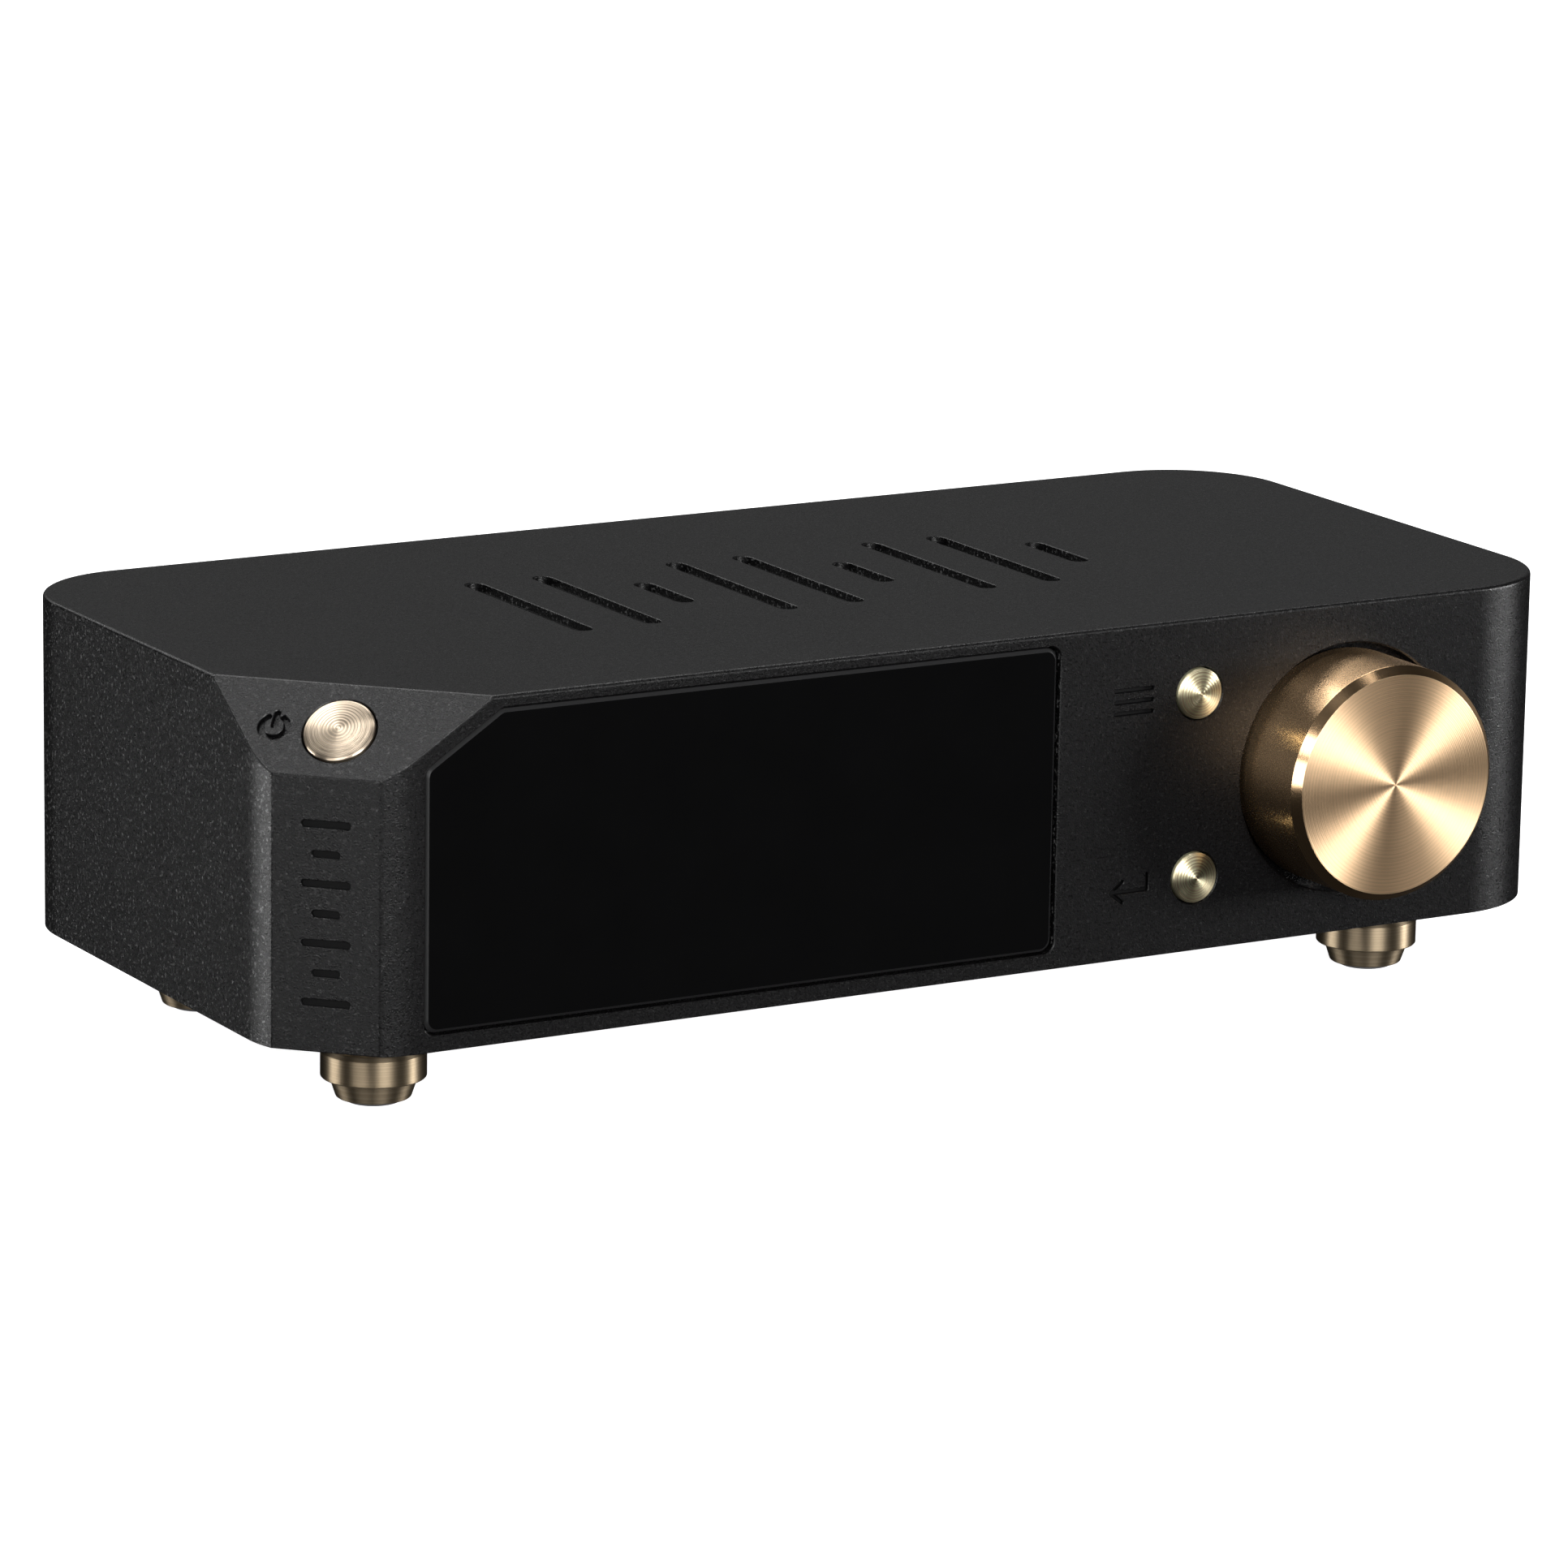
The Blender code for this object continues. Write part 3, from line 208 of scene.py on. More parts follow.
def rounded_rectangle(low, high, radius, steps=CORNER_STEPS):
    corners = ((low[0], low[1], 1, 1, 180), (high[0], low[1], -1, 1, 270),
               (high[0], high[1], -1, -1, 0), (low[0], high[1], 1, -1, 90))
    outline = []
    for x, y, side_x, side_y, start in corners:
        centre = (x + side_x * radius, y + side_y * radius)
        outline += arc_points(centre, radius, start, start + 90, steps)
    return outline


def centred_rectangle(width, height, radius, grow, steps=CORNER_STEPS):
    half_width = width / 2 + grow
    half_height = height / 2 + grow
    return rounded_rectangle((-half_width, -half_height), (half_width, half_height), radius + grow, steps)


def rounded_polygon(points, radius):
    """Outline of a convex polygon, with every corner rounded to the same radius."""
    outline = []
    for index, point in enumerate(points):
        corner = Vector(point)
        before = (Vector(points[index - 1]) - corner).normalized()
        after = (Vector(points[(index + 1) % len(points)]) - corner).normalized()
        half_angle = before.angle(after) / 2
        centre = corner + (before + after).normalized() * radius / math.sin(half_angle)
        first = corner + before * radius / math.tan(half_angle) - centre
        last = corner + after * radius / math.tan(half_angle) - centre
        start = math.degrees(math.atan2(first.y, first.x))
        turn = math.degrees(last.angle(first))
        outline += arc_points(centre, radius, start, start + turn, CORNER_STEPS)
    return outline


def window_outline(inset):
    """The display window's outline, with its cut corner beside the sloping facet, moved inwards."""
    cut_length = math.hypot(WINDOW_CUT_X, WINDOW_CUT_Z)
    slack = WINDOW_CUT_X + WINDOW_CUT_Z - cut_length
    shift_x = inset * slack / WINDOW_CUT_Z
    shift_z = inset * slack / WINDOW_CUT_X
    left = WINDOW_LEFT + inset
    right = WINDOW_RIGHT - inset
    low = WINDOW_BOTTOM + inset
    high = WINDOW_TOP - inset
    corners = ((left, low), (right, low), (right, high), (left + WINDOW_CUT_X - shift_x, high),
               (left, high - WINDOW_CUT_Z + shift_z))
    return rounded_polygon(corners, WINDOW_CORNER - inset * 0.5)


def stroke_outline(points, width):
    """Outline of a stroke through points, with round ends and round outer corners."""
    route = [Vector(point) for point in (*points, *reversed(points[1:-1]))]
    outline = []
    for index, corner in enumerate(route):
        inward = corner - route[index - 1]
        onward = route[(index + 1) % len(route)] - corner
        heading = math.degrees(math.atan2(inward.y, inward.x))
        turn = (math.degrees(math.atan2(onward.y, onward.x)) - heading + 179.9) % 360 - 179.9
        if turn > 0:
            outline += arc_points(corner, width / 2, heading - 90, heading - 90 + turn, CORNER_STEPS)
        else:
            reach = width / 2 / math.cos(math.radians(turn / 2))
            outline += arc_points(corner, reach, heading - 90 + turn / 2, heading - 90 + turn / 2, 0)
    return outline


def ring_outline(centre, radius, width, start, end):
    """Outline of an open ring with round ends, with the angles in degrees."""
    half = width / 2
    outline = arc_points(centre, radius + half, start, end, 40)
    for angle, turn in ((end, 0), (start, 180)):
        tip = arc_points(centre, radius, angle, angle, 0)[0]
        outline += arc_points(tip, half, angle + turn, angle + turn + 180, 6)[1:-1]
        if turn == 0:
            outline += arc_points(centre, radius - half, end, start, 40)
    return outline


# Forms, as meshes in millimetres

def lofted(levels):
    """A closed form through outlines of equal length, given as (outline, height) from the bottom up."""
    bm = bmesh.new()
    rings = [[bm.verts.new((x, y, height)) for x, y in outline] for outline, height in levels]
    for lower, upper in zip(rings, rings[1:]):
        for index in range(len(lower)):
            after = (index + 1) % len(lower)
            bm.faces.new((lower[index], lower[after], upper[after], upper[index]))
    bm.faces.new(list(reversed(rings[0])))
    bm.faces.new(rings[-1])
    return bm


def turned(profile, steps=96, closed=False):
    """A form turned about local Z, from (radius, height) points that run down from the top centre."""
    bm = bmesh.new()
    rings = []
    for radius, height in profile:
        count = steps if radius > 0 else 1
        angles = [math.tau * step / count for step in range(count)]
        rings.append([bm.verts.new((radius * math.cos(a), radius * math.sin(a), height)) for a in angles])
    pairs = list(zip(rings, rings[1:]))
    if closed:
        pairs.append((rings[-1], rings[0]))
    for upper, lower in pairs:
        for index in range(steps):
            after = index + 1
            corners = (upper[index % len(upper)], lower[index % len(lower)],
                       lower[after % len(lower)], upper[after % len(upper)])
            bm.faces.new(list(dict.fromkeys(corners)))
    return bm


def eased(profile, size):
    """A profile with its corners rounded off, by no more than a third of the shorter side."""
    steps = 3
    points = [Vector(point) for point in profile]
    result = [points[0]]
    for before, corner, after in zip(points, points[1:], points[2:]):
        reach = min(size, (before - corner).length / 3, (after - corner).length / 3)
        start = corner + (before - corner).normalized() * reach
        end = corner + (after - corner).normalized() * reach
        for step in range(steps + 1):
            share = step / steps
            result.append(start.lerp(corner, share).lerp(corner.lerp(end, share), share))
    result.append(points[-1])
    return [tuple(point) for point in result]


def grooved(outer, height, pitch, depth):
    """Profile points of a turned face from its centre outwards; height gives the face's own form."""
    steps = 4
    count = int(outer / pitch) * steps
    points = []
    for index in range(count + 1):
        radius = index * pitch / steps
        groove = depth * (1 - math.cos(math.tau * index / steps)) / 2
        points.append((radius, height(radius) - groove))
    return points


def cylinder(radius, bottom, top, steps=48, flare=None):
    """A round cutter; flare adds a chamfer of that size where it passes a face at height 0."""
    if flare:
        wide = radius + flare + PASSING
        profile = ((0, top), (wide, top), (wide, PASSING), (radius, -flare), (radius, bottom), (0, bottom))
    else:
        profile = ((0, top), (radius, top), (radius, bottom), (0, bottom))
    return turned(profile, steps)


# Pieces

def to_object(name, bm, place):
    """An object in metres, standing in a frame, from a form in millimetres."""
    bmesh.ops.scale(bm, vec=(MM, MM, MM), verts=bm.verts)
    mesh = bpy.data.meshes.new(name)
    bm.to_mesh(mesh)
    bm.free()
    item = bpy.data.objects.new(name, mesh)
    item.matrix_world = place
    bpy.context.scene.collection.objects.link(item)
    return item


def bake(item):
    """Applies the modifiers to the mesh."""
    depsgraph = bpy.context.evaluated_depsgraph_get()
    baked = bpy.data.meshes.new_from_object(item.evaluated_get(depsgraph))
    old = item.data
    item.modifiers.clear()
    item.data = baked
    bpy.data.meshes.remove(old)


def weld(item):
    """Merges the points that a cut leaves almost on each other."""
    reach = 0.002 * MM
    bm = bmesh.new()
    bm.from_mesh(item.data)
    bmesh.ops.remove_doubles(bm, verts=bm.verts, dist=reach)
    bmesh.ops.dissolve_degenerate(bm, edges=bm.edges, dist=reach)
    bm.to_mesh(item.data)
    bm.free()


def combine(item, operation, forms):
    """Joins forms to a piece or cuts them from it, as (form, frame) pairs that don't touch each other."""
    whole = bmesh.new()
    for form, place in forms:
        form.transform(place @ Matrix.Scale(MM, 4))
        part = bpy.data.meshes.new("part")
        form.to_mesh(part)
        form.free()
        whole.from_mesh(part)
        bpy.data.meshes.remove(part)
    bmesh.ops.scale(whole, vec=(1 / MM, 1 / MM, 1 / MM), verts=whole.verts)
    tool = to_object("tool", whole, Matrix.Identity(4))
    modifier = item.modifiers.new("Combine", "BOOLEAN")
    modifier.operation = operation
    modifier.solver = "EXACT"
    modifier.object = tool
    bake(item)
    bpy.data.objects.remove(tool)
    weld(item)


def cut(item, *forms):
    combine(item, "DIFFERENCE", forms)


def join(item, *forms):
    combine(item, "UNION", forms)


def shade(item):
    """Smooth shading that keeps flat faces flat and edges sharp."""
    item.data.shade_smooth()
    item.data.set_sharp_from_angle(angle=math.radians(SHARP_ANGLE))
    modifier = item.modifiers.new("Normals", "WEIGHTED_NORMAL")
    modifier.keep_sharp = True
    modifier.weight = 100


def finish_piece(item, materials, body="chassis", stands_for=()):
    """Shades a piece, gives it the named materials, ties it to its body and hides the CAD nodes that it
    replaces.
    """
    for name in materials:
        item.data.materials.append(MATERIALS[name])
    shade(item)
    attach(item, body)
    if stands_for:
        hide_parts(*stands_for)
    return item


def paint(item, index, test):
    """Gives faces whose middle passes a test, in local millimetres, the piece's material of that index."""
    for face in item.data.polygons:
        if test(*(face.center / MM)):
            face.material_index = index


# Materials

class Finish:
    """Builds the node tree of one material."""

    def __init__(self, name):
        self.material = bpy.data.materials.new(name)
        self.material.use_nodes = True
        self.tree = self.material.node_tree
        self.shader = self.tree.nodes["Principled BSDF"]
        self.place = self.add("TexCoord").outputs["Object"]

    def add(self, kind, inputs=None, **settings):
        node = self.tree.nodes.new("ShaderNode" + kind)
        for name, value in settings.items():
            setattr(node, name, value)
        for name, value in (inputs or {}).items():
            self.feed(node.inputs[name], value)
        return node

    def feed(self, socket, value):
        if isinstance(value, bpy.types.NodeSocket):
            self.tree.links.new(value, socket)
        else:
            socket.default_value = value

    def surface(self, **inputs):
        """Sets the shader's inputs, whose names have underscores for spaces."""
        for name, value in inputs.items():
            self.feed(self.shader.inputs[name.replace("_", " ").title().replace("Ior", "IOR")], value)

    def maths(self, operation, first, second=0.0, third=0.0):
        node = self.add("Math", {0: first, 1: second, 2: third}, operation=operation)
        return node.outputs[0]

    def vector(self, operation, first, second=(0, 0, 0)):
        node = self.add("VectorMath", {0: first, 1: second}, operation=operation)
        return node.outputs["Value" if operation == "LENGTH" else "Vector"]

    def noise(self, size, detail, stretch=(1, 1, 1)):
        """Noise from about 0 to 1, with features of a size in millimetres."""
        place = self.vector("MULTIPLY", self.place, stretch)
        inputs = {"Vector": place, "Scale": 1 / (size * MM), "Detail": detail, "Roughness": 0.55}
        return self.add("TexNoise", inputs).outputs["Fac"]

    def spread(self, value, low, high, start=0.3, end=0.7):
        """Maps a value from its usual span to a new one."""
        inputs = {"Value": value, "From Min": start, "From Max": end, "To Min": low, "To Max": high}
        return self.add("MapRange", inputs).outputs["Result"]

    def blend(self, share, first, second):
        """A colour between two others, given as three numbers each."""
        node = self.add("Mix", {"Factor": share}, data_type="RGBA")
        self.feed(node.inputs[6], (*first, 1) if isinstance(first, tuple) else first)
        self.feed(node.inputs[7], (*second, 1) if isinstance(second, tuple) else second)
        return node.outputs[2]

    def bump(self, height, depth):
        """A bumped normal, with the full depth in millimetres."""
        return self.add("Bump", {"Height": height, "Distance": depth * MM, "Strength": 1.0}).outputs["Normal"]


def blasted_black():
    """Black aluminium with a fine blasted surface; single grains glint through a raised specular level and
    through a painted glint of pale base colour, which is mostly on the end faces.
    """
    finish = Finish("blasted_black")
    grain = finish.noise(0.2, 3)
    cloud = finish.noise(14, 2)
    glint = finish.spread(finish.noise(0.45, 1), 0, 1, 0.6, 0.72)
    facing = finish.add("TexCoord").outputs["Normal"]
    painted_glint_facing = finish.maths("ABSOLUTE", finish.add("SeparateXYZ", {"Vector": facing}).outputs["X"])
    # painted glint: pale base colour on single grains, strongest on the end faces, stands in for their sparkle
    pale = finish.maths("MULTIPLY", glint, finish.spread(painted_glint_facing, 0.03, 1, 0.8, 0.98))
    colour = finish.blend(finish.spread(cloud, 0, 1), (0.0022, 0.0021, 0.0023), (0.0029, 0.0028, 0.0030))
    # the pale grey mixed in here is the painted glint
    finish.surface(base_color=finish.blend(pale, colour, (0.12, 0.12, 0.12)),
                   roughness=finish.spread(finish.noise(0.34, 2), 0.24, 0.35),
                   specular_ior_level=finish.spread(glint, 0.34, 0.6, 0, 1), normal=finish.bump(grain, 0.05))
    return finish.material


def dull_black(name, size, dark, pale, roughness, specular, depth):
    """A dark surface with a fine grain: the inside of a stroke, where its darkness is painted shade, or the
    bevel ground round the glass.
    """
    finish = Finish(name)
    grain = finish.noise(size, 2)
    finish.surface(base_color=finish.blend(grain, dark, pale), roughness=finish.spread(grain, *roughness),
                   specular_ior_level=specular, normal=finish.bump(grain, depth))
    return finish.material


def meridian(finish):
    """The direction across a turned piece's grooves, which are rings about its local Z axis."""
    along = finish.vector("CROSS_PRODUCT", (0, 0, 1), finish.place)
    turn = finish.add("VectorTransform", {"Vector": along}, vector_type="VECTOR", convert_from="OBJECT",
                      convert_to="WORLD").outputs["Vector"]
    normal = finish.add("NewGeometry").outputs["Normal"]
    return finish.vector("CROSS_PRODUCT", turn, normal)


def ring_distance(finish):
    """Distance from the local Z axis, in metres."""
    flat = finish.vector("MULTIPLY", finish.place, (1, 1, 0))
    return finish.vector("LENGTH", flat)


def turned_metal(name, colour, roughness, anisotropy, depth=0.003, pitch=0.24, ring_shading=0.08):
    """Turned metal whose fine grooves stretch the highlights across them, with paler and darker rings painted
    into its colour as the grooves' light and shade.
    """
    finish = Finish(name)
    radius = ring_distance(finish)
    height = finish.add("SeparateXYZ", {"Vector": finish.place}).outputs["Z"]
    across = finish.add("CombineXYZ", {"X": radius, "Y": height}).outputs["Vector"]
    inputs = {"Vector": across, "Scale": 1 / (0.09 * MM), "Detail": 2.0}
    lines = finish.add("TexNoise", inputs, noise_dimensions="2D").outputs["Fac"]
    rings = finish.maths("SINE", finish.maths("MULTIPLY", radius, math.tau / (pitch * MM)))
    painted_ring_bands = finish.maths("MULTIPLY_ADD", rings, 0.12, lines)
    speck = finish.noise(0.16, 2)
    # painted shade and painted highlight: darker and paler rings in the colour stand in for the light that the
    # grooves catch
    darker = tuple(channel * (1 - ring_shading) for channel in colour)
    paler = tuple(min(1.0, channel * (1 + ring_shading) + 0.02) for channel in colour)
    gold_with_painted_rings = finish.blend(finish.spread(painted_ring_bands, 0, 1, 0.38, 0.62), darker, paler)
    finish.surface(base_color=gold_with_painted_rings, metallic=1.0,
                   roughness=finish.spread(speck, roughness * 0.92, roughness * 1.08),
                   anisotropic=anisotropy, tangent=meridian(finish), normal=finish.bump(lines, depth))
    return finish.material


def black_glass():
    """Smoked glass with its back printed black."""
    finish = Finish("black_glass_front")
    haze = finish.noise(9, 3)
    finish.surface(base_color=finish.blend(haze, (0.0019, 0.0019, 0.0020), (0.0026, 0.0026, 0.0027)),
                   roughness=finish.spread(haze, 0.04, 0.07), specular_ior_level=0.35)
    return finish.material


def moulded(name, colour, roughness):
    """Moulded plastic or rubber with a fine texture."""
    finish = Finish(name)
    grain = finish.noise(0.35, 3)
    cloud = finish.noise(6, 2)
    paler = tuple(channel * 1.18 + 0.002 for channel in colour)
    finish.surface(base_color=finish.blend(finish.spread(cloud, 0, 1), colour, paler),
                   roughness=finish.spread(grain, roughness - 0.06, roughness + 0.06),
                   normal=finish.bump(grain, 0.008))
    return finish.material


def plated_steel():
    finish = Finish("plated_steel")
    brush = finish.noise(0.4, 3, (1, 1, 6))
    cloud = finish.noise(2.5, 2)
    grey = finish.blend(finish.spread(cloud, 0, 1), (0.42, 0.42, 0.43), (0.56, 0.56, 0.57))
    finish.surface(base_color=grey, metallic=1.0, roughness=finish.spread(brush, 0.26, 0.42),
                   normal=finish.bump(brush, 0.002))
    return finish.material


def circuit_board():
    """Green solder mask with the copper tracks showing through it and pale pads."""
    finish = Finish("circuit_board_mask")
    inputs = {"Vector": finish.place, "Scale": 1 / (4.5 * MM), "Mortar Size": 0.035, "Brick Width": 0.9,
              "Row Height": 0.23}
    tracks = finish.add("TexBrick", inputs).outputs["Fac"]
    green = finish.blend(tracks, (0.008, 0.045, 0.02), (0.018, 0.1, 0.045))
    inputs = {"Vector": finish.place, "Scale": 1 / (3.1 * MM), "Randomness": 0.6}
    pads = finish.add("TexVoronoi", inputs).outputs["Distance"]
    share = finish.maths("LESS_THAN", pads, 0.13)
    finish.surface(base_color=finish.blend(share, green, (0.5, 0.48, 0.42)), roughness=0.42,
                   normal=finish.bump(tracks, 0.02))
    return finish.material


def ribbon_film():
    """Copper polymer film with parallel conductors."""
    finish = Finish("ribbon_film_copper")
    across = finish.add("SeparateXYZ", {"Vector": finish.place}).outputs["X"]
    wave = finish.maths("SINE", finish.maths("MULTIPLY", across, math.tau / (0.5 * MM)))
    share = finish.spread(wave, 0, 1, -0.2, 0.2)
    finish.surface(base_color=finish.blend(share, (0.25, 0.1, 0.025), (0.5, 0.26, 0.09)), roughness=0.38,
                   normal=finish.bump(share, 0.02))
    return finish.material


GOLD = (0.76, 0.50, 0.275)
FACE_GOLD = (0.86, 0.60, 0.36)
BUTTON_GOLD = (0.95, 0.76, 0.5)
POWER_GOLD = (0.5, 0.41, 0.31)
# the feet's gold has its own less saturated hue, but its darkness, well below the other golds, is painted shade
# for the dim light on the feet
SHADED_FOOT_GOLD = (0.30, 0.235, 0.155)
MATERIALS = {
    "black": blasted_black(),
    # the turned golds carry rings of painted light and shade, whose strength the last number sets
    "gold_face": turned_metal("turned_gold_face", FACE_GOLD, 0.485, 0.925, pitch=0.45, ring_shading=0.06),
    "gold_side": turned_metal("satin_gold_side", GOLD, 0.27, 0.8, depth=0.0002, ring_shading=0.03),
    "gold_edge": turned_metal("polished_gold_edge", GOLD, 0.2, 0.8, depth=0.0008),
    "gold_button": turned_metal("turned_gold_button", BUTTON_GOLD, 0.42, 0.85, 0.004, BUTTON_PITCH, 0.32),
    "gold_power": turned_metal("turned_gold_power_button", POWER_GOLD, 0.34, 0.85, 0.004, BUTTON_PITCH, 0.4),
    "gold_foot": turned_metal("brushed_gold_foot", SHADED_FOOT_GOLD, 0.42, 0.8),
    "jack_gold": turned_metal("plated_jack_gold", (0.85, 0.62, 0.24), 0.2, 0.4),
    # painted shade: the inside of the strokes, darker and duller than the housing's black
    "engraved": dull_black("painted_groove_shade_black", 0.15, (0.0012, 0.0012, 0.0013), (0.0022, 0.0022, 0.0023),
                           (0.45, 0.6), 0.12, 0.01),
    "glass": black_glass(),
    "glass_edge": dull_black("ground_glass_edge", 0.12, (0.010, 0.010, 0.0105), (0.016, 0.016, 0.0165),
                             (0.38, 0.5), 0.5, 0.004),
    "rubber": moulded("grey_foot_rubber", (0.13, 0.13, 0.14), 0.72),
    "plastic": moulded("moulded_black_plastic", (0.014, 0.014, 0.014), 0.45),
    "white_plastic": moulded("moulded_white_plastic", (0.62, 0.6, 0.56), 0.4),
    "red_plastic": moulded("moulded_red_plastic", (0.36, 0.015, 0.012), 0.4),
    "orange_plastic": moulded("moulded_orange_plastic", (0.55, 0.19, 0.02), 0.4),
    "steel": plated_steel(),
    "board": circuit_board(),
    "ribbon": ribbon_film(),
}
CAD_FINISHES = {
    "black_aluminium": "black", "gold_metal": "gold_side", "black_glass": "glass", "grey_rubber": "rubber",
    "black_plastic": "plastic", "steel": "steel", "circuit_board": "board", "ribbon_film": "ribbon",
    "jack_gold": "jack_gold",
}


def finish_cad_nodes():
    """Gives every CAD node the procedural material that its own finish names."""
    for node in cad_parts.values():
        for slot in node.material_slots:
            slot.material = MATERIALS[CAD_FINISHES[slot.material.name]]


# Housing

def slice_plane(bm, point, out):
    """Cuts away what lies beyond a plane and closes the cut."""
    geometry = list(bm.verts) + list(bm.edges) + list(bm.faces)
    result = bmesh.ops.bisect_plane(bm, geom=geometry, plane_co=point, plane_no=out, clear_outer=True,
                                    dist=0.0001)
    edges = [item for item in result["geom_cut"] if isinstance(item, bmesh.types.BMEdge)]
    bmesh.ops.edgeloop_fill(bm, edges=edges)


def housing_form(inset, bottom, top, chamfer=0.0, steps=8):
    """The housing's outer form moved inwards, between two heights, in body coordinates."""
    def outline(side):
        high = (BODY_WIDTH - side, BODY_DEPTH - side)
        return rounded_rectangle((side, side), high, CORNER_RADIUS - side, steps)

    levels = [(outline(inset), bottom)]
    for across, rise in arc_points((0, 0), chamfer, 0, 90, 4) if chamfer else [(0, 0)]:
        levels.append((outline(inset + chamfer - across), top - chamfer + rise))
    bm = lofted(levels)
    slice_plane(bm, Vector((FACET_SUM / 2, FACET_SUM / 2, 0)) - FACET_OUT * inset, FACET_OUT)
    slice_plane(bm, SLOPE_MIDDLE - SLOPE_OUT * inset, SLOPE_OUT)
    return bm


def ease_facets(bm):
    """Rounds off the edges where the two facets meet the other faces and each other."""
    edges = []
    for edge in bm.edges:
        if len(edge.link_faces) == 2 and edge.calc_face_angle() > math.radians(8):
            on_facet = any(abs(face.normal.dot(out)) > 0.9999 for face in edge.link_faces
                           for out in (FACET_OUT, SLOPE_OUT))
            if on_facet:
                edges.append(edge)
    bmesh.ops.bevel(bm, geom=edges, offset=EDGE_EASE, segments=3, affect="EDGES", clamp_overlap=True)


def column_centres():
    """Centres of the housing's four screw columns, in body coordinates."""
    far_x = BODY_WIDTH - COLUMN_INSET
    far_y = BODY_DEPTH - COLUMN_INSET
    behind_facets = (FACET_COLUMN_INSET, FACET_COLUMN_INSET)
    return (behind_facets, (far_x, COLUMN_INSET), (COLUMN_INSET, far_y), (far_x, far_y))


def panel_screw_centres():
    """Centres of the rear panel's screws, seen from behind."""
    return [(x, z) for x in (PANEL_SCREW_SIDE, BODY_WIDTH - PANEL_SCREW_SIDE) for z in PANEL_SCREW_HEIGHTS]


def panel_outline(inset):
    """Outline of the rear panel's recess moved inwards, seen from behind."""
    low = (PANEL_SIDE + inset, PANEL_BOTTOM + inset)
    high = (BODY_WIDTH - PANEL_SIDE - inset, PANEL_TOP - inset)
    return rounded_rectangle(low, high, PANEL_CORNER - inset)


def sunk(outline_at, depth, rim=RIM_EASE):
    """A cutter with a small chamfer at the face; outline_at gives its outline grown by a distance."""
    wide = outline_at(rim + PASSING)
    return lofted(((outline_at(0), -depth), (outline_at(0), -rim), (wide, PASSING), (wide, OVERRUN)))


def stroke_cutter(points, width, place, depth):
    """The cutter of an engraved stroke, with its frame."""
    return sunk(lambda grow: stroke_outline(points, width + 2 * grow), depth, STROKE_RIM), place


def menu_symbol():
    """Three level strokes."""
    return [stroke_cutter(((110.95, z), (116.3, z)), FRONT_STROKE, FRONT, SYMBOL_DEPTH)
            for z in (34.2, 32.75, 31.3)]


def return_symbol():
    """An arrow that comes down and turns left, as its shaft and its head, which cross each other."""
    tip = (110.9, 8.65)
    shaft = ((116.2, 10.6), (116.2, tip[1]), (tip[0] + 0.3, tip[1]))
    head = ((tip[0] + 1.7, tip[1] + 1.3), tip, (tip[0] + 1.7, tip[1] - 1.3))
    return [stroke_cutter(points, FRONT_STROKE, FRONT, SYMBOL_DEPTH) for points in (shaft, head)]


def power_symbol():
    """A broken ring and the upright stroke in its gap."""
    def ring_at(grow):
        return ring_outline((POWER_SYMBOL_X, 0), POWER_RING, POWER_STROKE + 2 * grow, 125, 415)

    upright = stroke_cutter(((POWER_SYMBOL_X, 0.1), (POWER_SYMBOL_X, 1.9)), POWER_STROKE, SLOPE, SYMBOL_DEPTH)
    return [(sunk(ring_at, SYMBOL_DEPTH, STROKE_RIM), SLOPE), upright]


def top_pattern():
    """A plain row of sunk bars of different lengths."""
    count = 9
    spacing = 9.6
    width = 2.6
    middle = BODY_DEPTH / 2
    bars = []
    for index in range(count):
        x = BODY_WIDTH / 2 + (index - (count - 1) / 2) * spacing
        half_length = 5 + 10.5 * abs(math.sin(1.05 * (index + 1)))
        ends = ((x, middle - half_length), (x, middle + half_length))
        bars.append(stroke_cutter(ends, width, TOP, TOP_ENGRAVE_DEPTH))
    return bars


def facet_pattern():
    """A plain ladder of short level strokes, long and short in turn."""
    lowest = 6
    spacing = 3.6
    width = 0.9
    rungs = []
    for index in range(7):
        z = lowest + spacing * index
        half_length = 2.6 if index % 2 == 0 else 1.3
        rungs.append(stroke_cutter(((-half_length, z), (half_length, z)), width, FACET, ENGRAVE_DEPTH))
    return rungs


def in_painted_groove_shade(x, y, z):
    """Whether a point of the housing lies in a facet stroke, a front symbol or the power symbol's wall, and so
    gets the painted groove shade.
    """
    below_rim = 0.06
    facet_depth = (x + y - FACET_SUM) / math.sqrt(2)
    if below_rim < facet_depth < ENGRAVE_DEPTH + 0.1 and abs(x - y) < 6 and z < SLOPE_FOOT - 2:
        return True
    if below_rim < y < SYMBOL_DEPTH + 0.1 and 110 < x < 117:
        return 7 < z < 12 or 30 < z < 36
    offset = Vector((x, y, z)) - SLOPE_MIDDLE
    from_symbol = math.hypot(offset.dot(FACET_RIGHT) - POWER_SYMBOL_X, offset.dot(SLOPE_UP))
    return from_symbol < 2.4 and 0.03 - SYMBOL_DEPTH < offset.dot(SLOPE_OUT) < -below_rim


